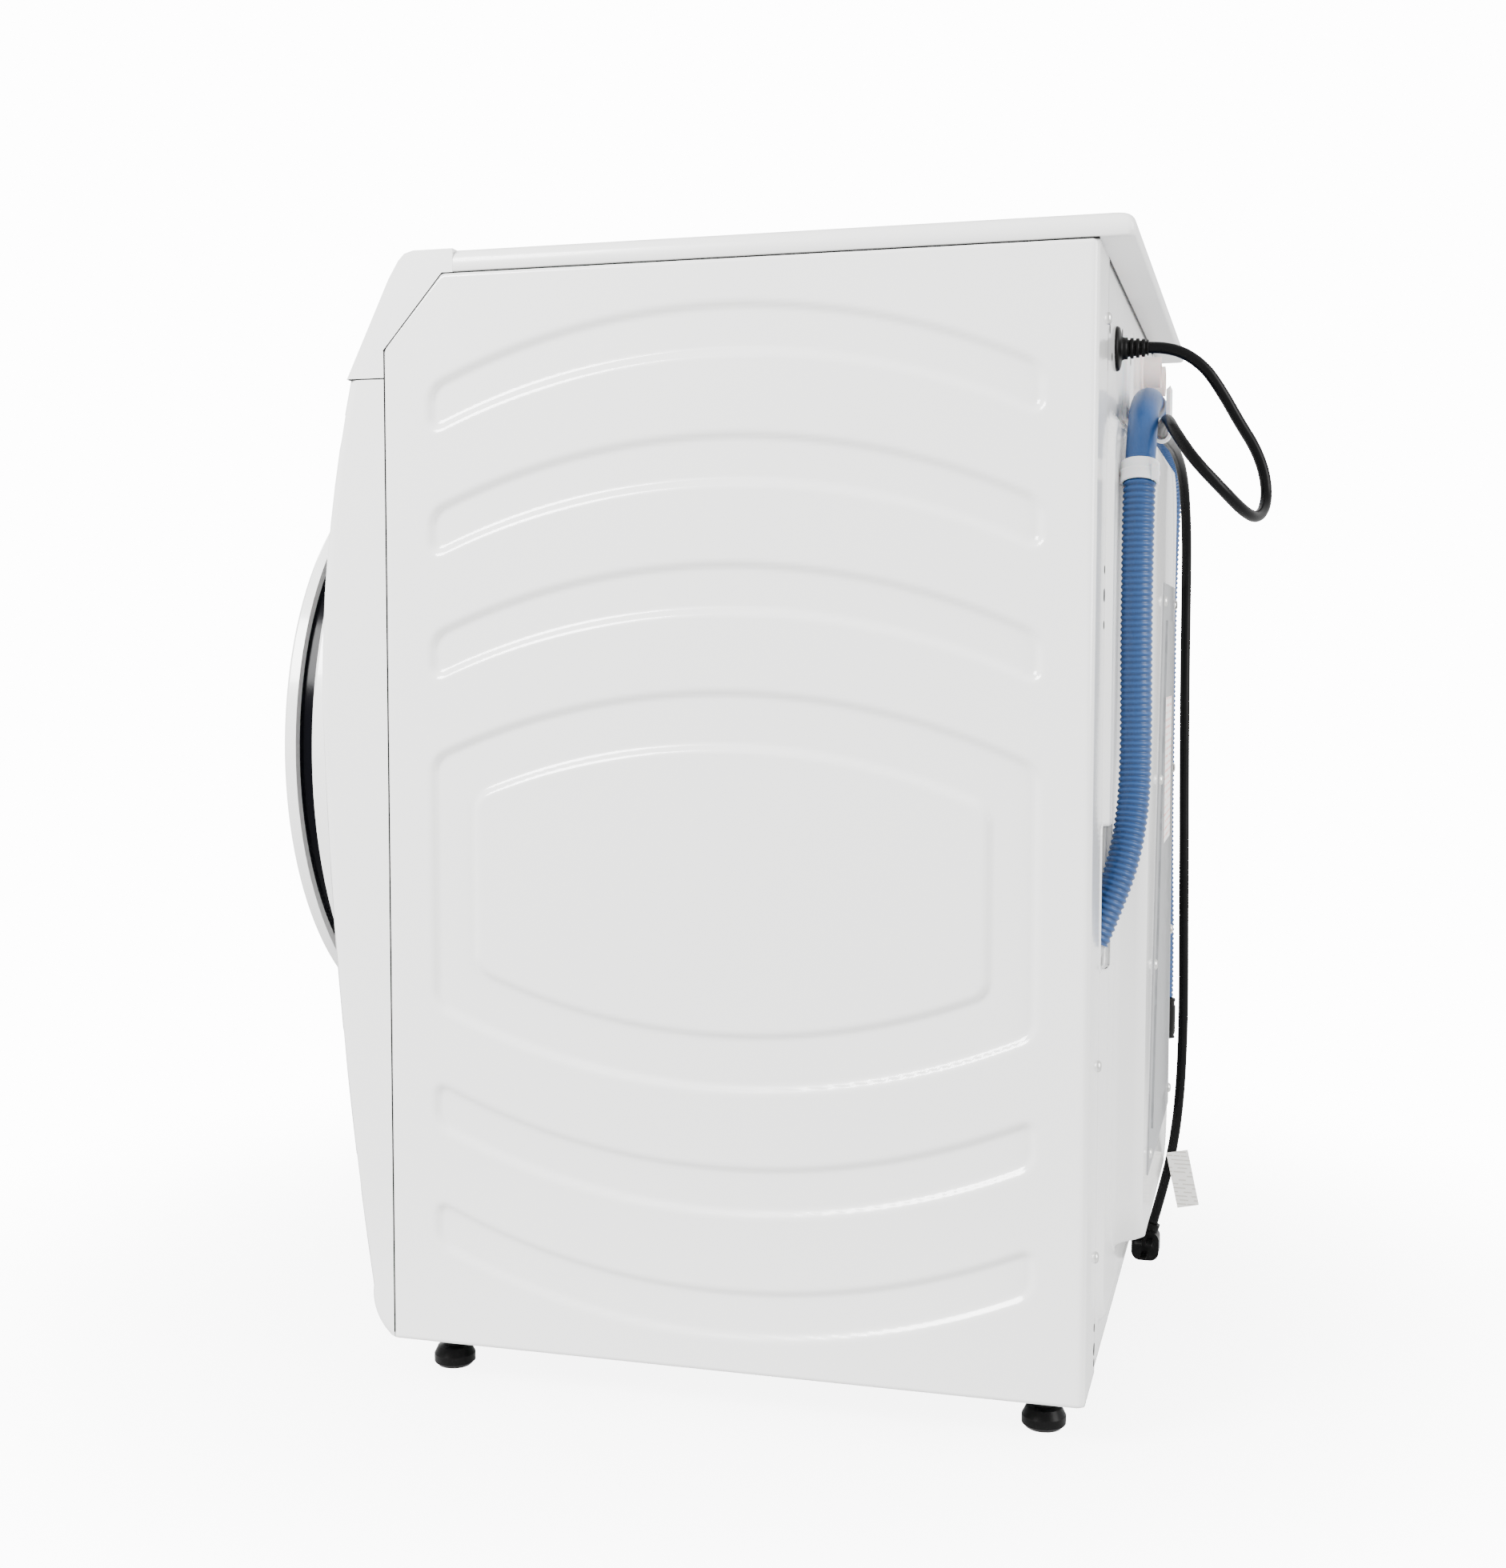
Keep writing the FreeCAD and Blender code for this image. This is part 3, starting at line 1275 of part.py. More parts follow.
def lifters():
    """Three tapered ribs that lift the laundry, seated on the inside of the drum."""
    seat = v.drum_r - DRUM_SKIN - v.fit_gap
    y0, y1 = v.drum_front_y + 25, v.drum_back_y - 25
    profile = [(-28, seat + 5), (28, seat + 5), (11, seat - 40), (-11, seat - 40)]
    rib = face_of([(x, y0, z) for x, z in profile]).extrude(V(0, y1 - y0, 0))
    bore = Part.makeCylinder(seat, y1 - y0 + 20, V(0, y0 - 10, 0), V(0, 1, 0))
    rib = rib.common(bore)
    ribs = []
    for i in range(LIFTERS):
        turned_rib = rib.copy()
        turned_rib.rotate(V(0, 0, 0), V(0, 1, 0), 360 / LIFTERS * i)
        turned_rib.translate(V(0, 0, v.drum_z))
        ribs.append(turned_rib)
    return node(shaped("drum_lifters", Part.makeCompound(ribs)), "drum_lifters")


lifters()


def spider():
    """Cast three-armed spider with the drum shaft in its hub."""
    y0 = v.drum_back_y
    hub = Part.makeCylinder(30, 14, V(0, y0, 0), V(0, 1, 0))
    hub = hub.fuse(Part.makeCylinder(v.shaft_r, v.pulley_y + 13 - y0, V(0, y0, 0), V(0, 1, 0)))
    for i in range(LIFTERS):
        arm = Part.makeBox(30, 12, v.drum_r - 6, V(-15, y0, 0))
        arm.rotate(V(0, 0, 0), V(0, 1, 0), 360 / LIFTERS * (i + 0.5))
        hub = hub.fuse(arm)
    hub = hub.removeSplitter()
    hub.translate(V(0, 0, v.drum_z))
    return node(shaped("drum_spider", hub), "drum_spider")


spider()

pulley_disc = turned(
    "pulley_disc",
    [
        ("shaft_r + running", "pulley_y - 5"),
        ("shaft_r + 10", "pulley_y - 5"),
        ("shaft_r + 10", "pulley_y - 2"),
        ("pulley_r - 8", "pulley_y - 2"),
        ("pulley_r - 8", "pulley_y - belt_width / 2"),
        ("pulley_r", "pulley_y - belt_width / 2"),
        ("pulley_r", "pulley_y + belt_width / 2"),
        ("pulley_r - 8", "pulley_y + belt_width / 2"),
        ("pulley_r - 8", "pulley_y + 2"),
        ("shaft_r + 10", "pulley_y + 2"),
        ("shaft_r + 10", "pulley_y + 10"),
        ("shaft_r + running", "pulley_y + 10"),
    ],
)
PULLEY_HOLES = 6
holes = []
for i in range(PULLEY_HOLES):
    turn = math.radians(360 / PULLEY_HOLES * i)
    across = f"pulley_r * {0.56 * math.cos(turn):.4f}"
    rise = f"drum_z + pulley_r * {0.56 * math.sin(turn):.4f}"
    holes.append(rod(f"pulley_hole_{i}", "pulley_r * 0.2", "20", across, "pulley_y - 10", rise, "y"))
node(cut("pulley", pulley_disc, *holes), "drum_pulley")


def belt_loop(extra):
    """The belt's outline at a height above the two pulleys: two tangents and two arcs, as a face."""
    big, small = v.pulley_r + extra, v.motor_pulley_r + extra
    a, b = V(0, 0, v.drum_z), V(v.motor_x, 0, v.motor_z)
    gap = (b - a).Length
    heading = math.atan2(b.z - a.z, b.x - a.x)
    spread = math.acos((big - small) / gap)

    def at(centre, r, angle):
        return centre + V(r * math.cos(angle), 0, r * math.sin(angle))

    up, down = heading + spread, heading - spread
    edges = [
        Part.LineSegment(at(a, big, up), at(b, small, up)).toShape(),
        Part.Arc(at(b, small, up), at(b, small, heading), at(b, small, down)).toShape(),
        Part.LineSegment(at(b, small, down), at(a, big, down)).toShape(),
        Part.Arc(at(a, big, down), at(a, big, heading + math.pi), at(a, big, up)).toShape(),
    ]
    return wire_face(edges)


def drive_belt():
    gap = v.fit_gap
    loop = belt_loop(gap + v.belt_thick).cut(belt_loop(gap))
    loop.translate(V(0, v.pulley_y - v.belt_width / 2, 0))
    return node(shaped("drive_belt", loop.extrude(V(0, v.belt_width, 0))), "drive_belt")


drive_belt()

case = rod("motor_case", "motor_r", "110", "motor_x", MOTOR_Y[0], "motor_z", "y")
motor_bore = rod("motor_bore", "8 + running", "30", "motor_x", f"{MOTOR_Y[1]} - 25", "motor_z", "y")
node(cut("motor_body", join("motor_solid", case, *straps), motor_bore), "motor")
motor_shaft = rod(
    "motor_shaft", "8", "pulley_y + 8 - tub_back_y + 25", "motor_x", "tub_back_y - 25", "motor_z", "y"
)
motor_wheel = rod(
    "motor_wheel",
    "motor_pulley_r",
    "belt_width + 2",
    "motor_x",
    "pulley_y - belt_width / 2 - 1",
    "motor_z",
    "y",
)
node(join("motor_pulley_body", motor_shaft, motor_wheel), "motor_pulley")

ring_weight = turned(
    "ring_weight",
    [
        ("mouth_r + 10", "tub_front_y - 32"),
        ("tub_r - 4", "tub_front_y - 32"),
        ("tub_r - 4", "tub_front_y"),
        ("mouth_r + 10", "tub_front_y"),
    ],
)
slab = block(
    "top_slab",
    ("-70", "150"),
    ("tub_front_y + 20", "tub_seam_y - 12"),
    ("drum_z + tub_r - 45", "drum_z + tub_r + 55"),
)
nest = rod("top_nest", "tub_r + fit_gap", "300", "0", "tub_front_y", "drum_z", "y")
node(gather("weights", ring_weight, cut("top_weight", slab, nest)), "counterweights")

# ---------------------------------------------------------------- suspension


def slanted_rod(radius, a, b):
    """A cylinder from point a to point b."""
    return Part.makeCylinder(radius, (b - a).Length, a, b - a)


def springs():
    coils = []
    for sign in (-1, 1):
        top = V(sign * v.spring_x, v.spring_y, v.cover_z - 24 - v.fit_gap)
        foot = V(sign * (v.spring_x - v.spring_lean), v.spring_y, v.cover_z - 192 + v.fit_gap)
        tall = top.z - foot.z
        drop = Part.makeBox(80, 60, tall, V(min(top.x, foot.x) - 25, v.spring_y - 30, foot.z))
        lean = (top - foot).normalize() * 20
        coils.append(slanted_rod(9, foot - lean, top + lean).common(drop))
    return node(shaped("suspension_springs", Part.makeCompound(coils)), "suspension_springs")


springs()


def dampers():
    """On each side a friction damper: a cylinder pinned to the tray and a rod pinned to the tub."""
    for side, sign in (("left", -1), ("right", 1)):
        low = V(sign * v.damper_x, 0, v.damper_z)
        high = V(sign * v.damper_top_x, 0, v.damper_top_z)
        along = (high - low).normalize()
        neck = slanted_rod(6, low, low + along * 24)
        tube = slanted_rod(15, low + along * 20, low + along * 112)
        bore = slanted_rod(6 + v.fit_gap, low + along * 30, low + along * 130)
        eye = Part.makeCylinder(12, 13, V(low.x, -6.5, low.z), V(0, 1, 0))
        hole = Part.makeCylinder(4 + v.running, 40, V(low.x, -20, low.z), V(0, 1, 0))
        cylinder = tube.fuse(neck).fuse(eye).cut(bore).cut(hole)
        node(shaped(f"damper_cylinder_{side}", cylinder.removeSplitter()), f"damper_cylinder_{side}")
        stem = slanted_rod(6, low + along * 55, high - along * 5)
        eye = Part.makeCylinder(9, 13, V(high.x, -6.5, high.z), V(0, 1, 0))
        hole = Part.makeCylinder(4 + v.running, 40, V(high.x, -20, high.z), V(0, 1, 0))
        rod_piece = stem.fuse(eye).cut(hole)
        node(shaped(f"damper_rod_{side}", rod_piece.removeSplitter()), f"damper_rod_{side}")


dampers()


def tub_hoses():
    """Two straight rubber sleeves: dispenser to tub, and tub to pump."""
    pieces = []
    for x, y, low, high, r in (
        (float(OUTLET[0]), float(OUTLET[1]), v.drum_z + 215, v.console_z - 13, 18),
        (v.pump_x, -100, v.pump_z + 50, v.pump_z + 100, 21),
    ):
        outer = Part.makeCylinder(r, high - low, V(x, y, low))
        pieces.append(outer.cut(Part.makeCylinder(r - 3, high - low, V(x, y, low))))
    return node(shaped("tub_hoses", Part.makeCompound(pieces)), "tub_hoses")


tub_hoses()

# ---------------------------------------------------------------- drain hose and power cord

HOSE_START = (214, 297, 348)
HOSE_ROUTE = [
    HOSE_START,
    (209, 307, 374),
    (201, 317, 404),
    (190, 322.5, 440),
    (181, 323.5, 482),
    (178, 322.2, 560),
    (179, 322.2, 640),
    (172, 322.6, 698),
    (137, 322.5, 741),
    (80, 322.5, 751),
    (0, 321, 748),
    (-80, 319.5, 749),
    (-160, 319.5, 745),
    (-212, 321, 724),
    (-233, 318, 678),
    (-236, 316, 600),
    (-235, 316.3, 515),
    (-236, 316, 430),
    (-235, 317, 350),
    (-232, 319, 285),
    (-228, 319, 232),
]
CORD_ROUTE = [
    (150, 326, 781),
    (150, 343, 781),
    (147, 365, 768),
    (142, 379, 748),
    (133, 391, 727),
    (119.5, 404, 707),
    (113, 411, 686),
    (121, 411.5, 666),
    (142, 406, 655),
    (167, 397, 658),
    (189, 382, 673),
    (197, 362, 694),
    (184, 347.5, 716),
    (156, 341, 728),
    (126, 337, 729),
    (96, 332.5, 727.5),
    (60, 331, 727),
    (15, 332, 727),
    (-35, 335.5, 725),
    (-84, 340, 708),
    (-112, 342, 664),
    (-120, 342, 612),
    (-121, 342, 555),
    (-120, 342.5, 497),
    (-121.5, 343, 438),
    (-120, 344, 380),
    (-121, 344.5, 322),
    (-119.5, 345.5, 265),
    (-120.5, 345.5, 210),
    (-119, 343.5, 158),
    (-120, 338.5, 115),
    (-120, 331, 80),
    (-120, 322, 46),
]


def check_route(route, label):
    """Prints the radii of a route's arcs."""
    radii = []
    for a, b, c in zip(route, route[1:], route[2:]):
        u, w = (V(*b) - V(*a)), (V(*c) - V(*b))
        radii.append(0.45 * min(u.Length, w.Length) / math.tan(u.getAngle(w) / 2))
    print(label, "radii", [round(r) for r in radii])


def flexible(label, route, radius):
    """A cord or hose along its route; its volume is compared with section times length."""
    check_route(route, label)
    solid, length = pipe(route, radius)
    ratio = solid.Volume / (math.pi * radius**2 * length)
    print(label, "length", round(length), "volume ratio", round(ratio, 4))
    if abs(ratio - 1) > 0.01:
        raise RuntimeError(label + " did not sweep cleanly")
    return node(shaped(label, solid), label)


flexible("drain_hose", HOSE_ROUTE, v.hose_r)
flexible("power_cord", CORD_ROUTE, v.cord_r)


# Drain pump: a filter chamber behind the flap, the pump body, its foot and the outlet to the rear slot.

def drain_pump():
    x, z, r = v.pump_x, v.pump_z, v.pump_r
    y0, y1 = v.seam_y + 12, v.seam_y + 150
    body = Part.makeCylinder(r, y1 - y0, V(x, y0, z), V(0, 1, 0))
    chamber = Part.makeCylinder(r - 3, 70, V(x, y0 - 1, z), V(0, 1, 0))
    inlet = Part.makeCylinder(21, 50, V(x, -100, z))
    foot_z = v.foot_gap + v.moulding
    foot = Part.makeBox(50, 90, z - foot_z - r + 8, V(x - 25, y0 + 20, foot_z))
    bore = Part.makeCylinder(18, 60, V(x, -100, z + 10)).common(Part.makeBox(80, 80, 60, V(x - 40, -140, z)))
    body = body.fuse(foot).fuse(inlet).cut(chamber).cut(bore)
    route = [
        (x + 20, y1 - 14, z - 5),
        (x + 85, y1 - 14, z - 8),
        (x + 112, y1 + 50, z - 8),
        (x + 112, y1 + 200, z - 4),
        (x + 112, y1 + 286, z + 36),
        (x + 88, y1 + 346, z + 132),
        tuple(2 * a - b for a, b in zip(HOSE_START, HOSE_ROUTE[1])),
        HOSE_START,
    ]
    pipe_body = pipe(route, v.hose_r - 2, 60)[0]
    return node(shaped("drain_pump", body.fuse(pipe_body)), "drain_pump")


drain_pump()
cap_rim = rod("cap_rim", "pump_r - 3 - fit_gap", "16", "pump_x", "seam_y + 4", "pump_z", "y")
cap_flange = rod("cap_flange", "pump_r - 1", "6", "pump_x", "seam_y + 5.7", "pump_z", "y")
cap_grip = block(
    "cap_grip", ("pump_x - 20", "pump_x + 20"), ("seam_y - 8", "seam_y + 6"), ("pump_z - 3", "pump_z + 3")
)
node(join("filter_cap_body", cap_rim, cap_flange, cap_grip), "filter_cap")


def end_cuff():
    """Rubber cuff on the free end of the drain hose."""
    a, b = V(*HOSE_ROUTE[-2]), V(*HOSE_ROUTE[-1])
    along = (b - a).normalize()
    cuff = slanted_rod(v.hose_r + 2, b, b + along * 38)
    return node(shaped("drain_hose_end", cuff), "drain_hose_end")


end_cuff()


def hose_clip():
    """White band round the hose below its upper bend."""
    a, b = V(*HOSE_ROUTE[6]), V(*HOSE_ROUTE[7])
    middle, along = a + (b - a) * 0.4, (b - a).normalize()
    ring = slanted_rod(v.hose_r + 2, middle - along * 8, middle + along * 8)
    bore = slanted_rod(v.hose_r + v.fit_gap, middle - along * 20, middle + along * 20)
    return node(shaped("hose_clip", ring.cut(bore)), "hose_clip")


hose_clip()

HOOK_X = (62, 92)


def hose_hook():
    """Rear hook that carries the hose over its upper bend, with an eye for the cord below it."""
    y0, y1 = v.panel_y, v.stern_y
    floor_z = HOSE_ROUTE[9][2] - v.hose_r - 5.3
    outline = [
        (y0, 800),
        (y0 + 3, 800),
        (y0 + 3, floor_z + 2.5),
        (y1 - 3, floor_z + 2.5),
        (y1 - 3, floor_z + 24),
        (y1, floor_z + 27),
        (y1, floor_z + 2),
        (y1 - 2, floor_z),
        (y0 + 2, floor_z),
        (y0, floor_z + 2),
    ]
    hook = prism_x(outline, *HOOK_X)
    eye = V(HOOK_X[0], *CORD_ROUTE[16][1:])
    ring = Part.makeCylinder(v.cord_r + 3, 8, eye, V(1, 0, 0))
    bore = Part.makeCylinder(v.cord_r + 0.9, 60, eye - V(30, 0, 0), V(1, 0, 0))
    tab = Part.makeBox(8, 6, floor_z - eye.z - v.cord_r, V(eye.x, eye.y - 3, eye.z + v.cord_r + 1))
    return node(shaped("hose_hook", hook.fuse(ring).fuse(tab).cut(bore)), "hose_hook")


hose_hook()

gland = turned(
    "gland",
    [
        ("0", "panel_y - 4"),
        ("10.5", "panel_y - 4"),
        ("10.5", "panel_y"),
        ("16.5", "panel_y"),
        ("16.5", "panel_y + 2"),
        ("13", "panel_y + 3.5"),
        ("8.5", "panel_y + 4"),
        ("7", f"{CORD_ROUTE[0][1]}"),
        ("0", f"{CORD_ROUTE[0][1]}"),
    ],
    "cord_exit_x",
    "cord_exit_z",
)
grooves = [
    cut(
        f"groove_{i}",
        rod(f"groove_out_{i}", "11", "2", "cord_exit_x", f"panel_y + {12 + 4.5 * i}", "cord_exit_z", "y"),
        rod(f"groove_in_{i}", "5.6", "2", "cord_exit_x", f"panel_y + {12 + 4.5 * i}", "cord_exit_z", "y"),
    )
    for i in range(3)
]
node(cut("gland_ribbed", gland, *grooves), "cord_gland")

PLUG_TOP = CORD_ROUTE[-1]


def power_plug():
    """A flat angled plug: the cord enters from above and the pins point sideways."""
    x, y, z = PLUG_TOP
    lean = V(*CORD_ROUTE[-1]) - V(*CORD_ROUTE[-2])
    boot = slanted_rod(6.5, V(x, y, z), V(x, y, z) + lean.normalize() * 14)
    body = Part.makeBox(20, 24, 26, V(x - 10, y - 18, z - 32))
    tall = [e for e in body.Edges if e.BoundBox.YLength < 1e-6 and e.BoundBox.ZLength < 1e-6]
    body = body.makeFillet(8, tall)
    for dy, dz, wide in ((-11, -14, 6), (-2, -14, 6), (-6.5, -26, 5)):
        body = body.fuse(Part.makeBox(18, wide, 1.6, V(x + 9, y - wide / 2 + dy, z + dz)))
    return node(shaped("power_plug", body.fuse(boot).removeSplitter()), "power_plug")


power_plug()


def cord_tag():
    """A folded paper tag on the cord above the plug."""
    a, b = V(*CORD_ROUTE[-3]), V(*CORD_ROUTE[-2])
    along = (b - a).normalize()
    flag = Part.makeBox(0.8, 19, 50, V(a.x + v.cord_r + 0.3, a.y - 6, a.z - 52))
    flag.rotate(V(a.x, a.y, a.z), V(1, 0, 0), math.degrees(math.atan2(-along.y, -along.z)))
    return node(shaped("cord_tag", flag), "cord_tag")


cord_tag()

# ---------------------------------------------------------------- check and write

doc.recompute()
for obj in doc.Objects:
    if "Invalid" in obj.State or "Error" in obj.State:
        raise RuntimeError(f"{obj.Label} failed: {obj.State}")
for obj in NODES:
    if obj.Shape.isNull() or not obj.Shape.isValid() or not obj.Shape.Solids:
        raise RuntimeError(f"{obj.Label} has no valid shape")

os.makedirs("parts", exist_ok=True)
for obj in NODES:
    obj.Shape.exportStep(f"parts/{obj.Label}.step")
whole = Part.makeCompound([obj.Shape for obj in NODES]).BoundBox
print(
    len(NODES),
    "nodes",
    [round(t, 2) for t in (whole.XMin, whole.XMax, whole.YMin, whole.YMax, whole.ZMin, whole.ZMax)],
)
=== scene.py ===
import json
import math

import bmesh
import bpy
from mathutils import Matrix, Vector


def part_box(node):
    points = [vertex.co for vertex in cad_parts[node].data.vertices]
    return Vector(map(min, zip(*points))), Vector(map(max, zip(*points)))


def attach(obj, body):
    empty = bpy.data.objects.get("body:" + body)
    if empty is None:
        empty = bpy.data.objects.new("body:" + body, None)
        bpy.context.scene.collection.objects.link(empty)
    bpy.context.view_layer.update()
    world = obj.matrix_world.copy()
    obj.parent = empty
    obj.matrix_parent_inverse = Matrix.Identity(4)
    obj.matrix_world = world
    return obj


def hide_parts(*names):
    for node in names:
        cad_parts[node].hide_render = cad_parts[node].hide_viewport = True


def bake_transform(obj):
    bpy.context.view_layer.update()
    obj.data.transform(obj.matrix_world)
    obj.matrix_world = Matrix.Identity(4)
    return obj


# A front load washing machine. Lengths are in metres, apart from what goes through in_mm().
# +X is to the right of a person who faces the door, -Y is the front, +Z is up.

MM = 0.001
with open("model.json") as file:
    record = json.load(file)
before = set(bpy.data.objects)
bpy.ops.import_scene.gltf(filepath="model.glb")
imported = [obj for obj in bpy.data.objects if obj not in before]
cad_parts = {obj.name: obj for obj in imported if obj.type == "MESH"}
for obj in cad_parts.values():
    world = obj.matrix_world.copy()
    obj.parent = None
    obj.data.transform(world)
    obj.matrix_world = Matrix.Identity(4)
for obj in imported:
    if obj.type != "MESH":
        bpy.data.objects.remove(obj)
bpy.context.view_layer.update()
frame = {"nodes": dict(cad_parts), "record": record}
NODES = frame["nodes"]

# ---------------------------------------------------------------- places read from the frame

PANEL_LOW, PANEL_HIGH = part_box("side_panel_right")
HALF_X = PANEL_HIGH[0]
FLANGE_X = PANEL_LOW[0]
SEAM_Y, REAR_Y = PANEL_LOW[1], PANEL_HIGH[1]
FOOT_GAP, COVER_Z = PANEL_LOW[2], PANEL_HIGH[2]
DRUM_LOW, DRUM_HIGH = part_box("drum")
DRUM_Z = (DRUM_LOW[2] + DRUM_HIGH[2]) / 2
DRUM_R = (DRUM_HIGH[2] - DRUM_LOW[2]) / 2
TOP_LOW, TOP_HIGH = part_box("worktop")
FASCIA_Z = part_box("console")[0][2]
CORNER_FOLD = 6 * MM
STEEL = 1 * MM
SHADOW_GAP = 1 * MM
FASCIA_DEPTH = 28.5 * MM

# ---------------------------------------------------------------- camera and light

CAMERA_PLACE = (1.6252, 0.4318, 0.5573)
CAMERA_LENS = 44.57
CAMERA_AZIMUTH, CAMERA_DOWN, CAMERA_ROLL = math.radians(105.46), math.radians(3.917), math.radians(0.09)
SURROUND_LIGHT, SURROUND_SEEN = 1.62, 14.0


def linked(name, data):
    """A new object with this data, in the scene."""
    obj = bpy.data.objects.new(name, data)
    bpy.context.scene.collection.objects.link(obj)
    return obj


def add_camera():
    """The viewpoint: behind the right-hand side, above the machine's middle, looking slightly down."""
    data = bpy.data.cameras.new("camera")
    data.lens, data.sensor_width = CAMERA_LENS, 36
    data.clip_start, data.clip_end = 0.01, 50
    camera = linked("camera", data)
    level = math.cos(CAMERA_DOWN)
    heading = (-math.sin(CAMERA_AZIMUTH) * level, math.cos(CAMERA_AZIMUTH) * level, -math.sin(CAMERA_DOWN))
    camera.rotation_mode = "QUATERNION"
    turn = Vector(heading).to_track_quat("-Z", "Y").to_matrix() @ Matrix.Rotation(CAMERA_ROLL, 3, "Z")
    camera.rotation_quaternion = turn.to_quaternion()
    camera.location = CAMERA_PLACE
    bpy.context.scene.camera = camera


def add_softbox(name, place, target, size, power):
    """A soft rectangular lamp that points at the target."""
    data = bpy.data.lights.new(name, "AREA")
    data.shape, data.size, data.size_y, data.energy = "RECTANGLE", size[0], size[1], power
    lamp = linked(name, data)
    lamp.location = place
    lamp.rotation_mode = "QUATERNION"
    lamp.rotation_quaternion = (Vector(target) - Vector(place)).to_track_quat("-Z", "Y")


def add_light():
    """A white studio: an even surround, a soft box on the near side, one behind and one beyond."""
    middle = (0, 0, 0.45)
    add_softbox("key", (2.3, -1.7, 2.2), middle, (1.2, 1.2), 300)
    add_softbox("rear", (0.9, 2.6, 1.3), middle, (1.2, 1.8), 90)
    add_softbox("fill", (-2.2, -1.6, 1.2), middle, (1.2, 1.6), 50)
    world = bpy.data.worlds.new("studio")
    bpy.context.scene.world = world
    world.use_nodes = True
    nodes, links = world.node_tree.nodes, world.node_tree.links
    ground = nodes["Background"]
    ground.inputs["Color"].default_value = (1, 1, 1, 1)
    rays = nodes.new("ShaderNodeLightPath")
    strength = nodes.new("ShaderNodeMix")
    strength.inputs["A"].default_value = SURROUND_LIGHT
    strength.inputs["B"].default_value = SURROUND_SEEN
    links.new(rays.outputs["Is Camera Ray"], strength.inputs["Factor"])
    links.new(strength.outputs["Result"], ground.inputs["Strength"])


add_camera()
add_light()


def add_floor():
    """A plain pale floor that fades out into the white surround."""
    reach, sides = 2.2, 96
    turns = [math.tau * i / sides for i in range(sides)]
    rim = [(reach * math.cos(turn), reach * math.sin(turn), 0) for turn in turns]
    data = bpy.data.meshes.new("studio_floor")
    data.from_pydata(rim, [], [tuple(range(sides))])
    floor = linked("studio_floor", data)
    return floor


studio_floor = add_floor()

# ---------------------------------------------------------------- materials


class Value:
    """A shader socket that works in formulas: each operator, either way round, adds a Math node."""

    def __init__(self, paint, socket):
        self.paint, self.socket = paint, socket

    def __add__(self, other):
        return self.paint.math("ADD", self, other)

    def __radd__(self, other):
        return self.paint.math("ADD", other, self)

    def __sub__(self, other):
        return self.paint.math("SUBTRACT", self, other)

    def __rsub__(self, other):
        return self.paint.math("SUBTRACT", other, self)

    def __mul__(self, other):
        return self.paint.math("MULTIPLY", self, other)

    def __rmul__(self, other):
        return self.paint.math("MULTIPLY", other, self)

    def __truediv__(self, other):
        return self.paint.math("DIVIDE", self, other)

    def __rtruediv__(self, other):
        return self.paint.math("DIVIDE", other, self)


class Paint:
    """A material: a Principled shader and the nodes that feed it."""

    def __init__(self, name, **inputs):
        self.material = bpy.data.materials.new(name)
        self.material.use_nodes = True
        self.tree = self.material.node_tree
        self.shader = self.tree.nodes["Principled BSDF"]
        self.set(**inputs)

    def plug(self, socket, value):
        """Links a Value to an input, or sets the input to a number or a colour."""
        if isinstance(value, Value):
            self.tree.links.new(value.socket, socket)
        elif socket.type == "RGBA":
            socket.default_value = (*value[:3], 1)
        else:
            socket.default_value = value

    def node(self, kind, inputs=None, output=0, **settings):
        """Adds a node: its settings first, then the values or links of its inputs."""
        made = self.tree.nodes.new("ShaderNode" + kind)
        for name, value in settings.items():
            setattr(made, name, value)
        for name, value in (inputs or {}).items():
            self.plug(made.inputs[name], value)
        return Value(self, made.outputs[output])

    def math(self, operation, *values):
        """The result of a Math node."""
        return self.node("Math", dict(enumerate(values)), operation=operation)

    def set(self, **inputs):
        """Feeds the shader's inputs: an underscore in a name stands for a space."""
        for name, value in inputs.items():
            self.plug(self.shader.inputs[name.replace("_", " ")], value)
        return self

    def place(self, stretch=(1, 1, 1)):
        """Where a point of the surface is at rest, each axis multiplied by its stretch."""
        here = self.node("TexCoord", output="Object")
        return self.node("VectorMath", {0: here, 1: stretch}, operation="MULTIPLY")

    def axes(self):
        """The x, y and z of a point of the surface."""
        split = self.node("SeparateXYZ", {"Vector": self.place()})
        return [Value(self, out) for out in split.socket.node.outputs]

    def noise(self, scale, detail=2, stretch=(1, 1, 1)):
        """A cloudy pattern from 0 to 1, with this many patches to a metre."""
        inputs = {"Vector": self.place(stretch), "Scale": scale, "Detail": detail}
        return self.node("TexNoise", inputs)

    def fade(self, value, low, high, start=0.0, end=1.0):
        """A smooth step from start to end as value goes from low to high."""
        names = ("Value", "From Min", "From Max", "To Min", "To Max")
        inputs = dict(zip(names, (value, low, high, start, end)))
        return self.node("MapRange", inputs, interpolation_type="SMOOTHSTEP")

    def mix(self, factor, a, b):
        """The colour between a and b."""
        return self.node("Mix", {0: factor, 6: a, 7: b}, output=2, data_type="RGBA")

    def bump(self, height, distance):
        """Raises the surface by height times distance."""
        inputs = {"Height": height, "Distance": distance, "Strength": 1.0}
        return self.set(Normal=self.node("Bump", inputs))


def shade(colour, amount):
    """The colour, lighter or darker by a factor."""
    return tuple(part * amount for part in colour)


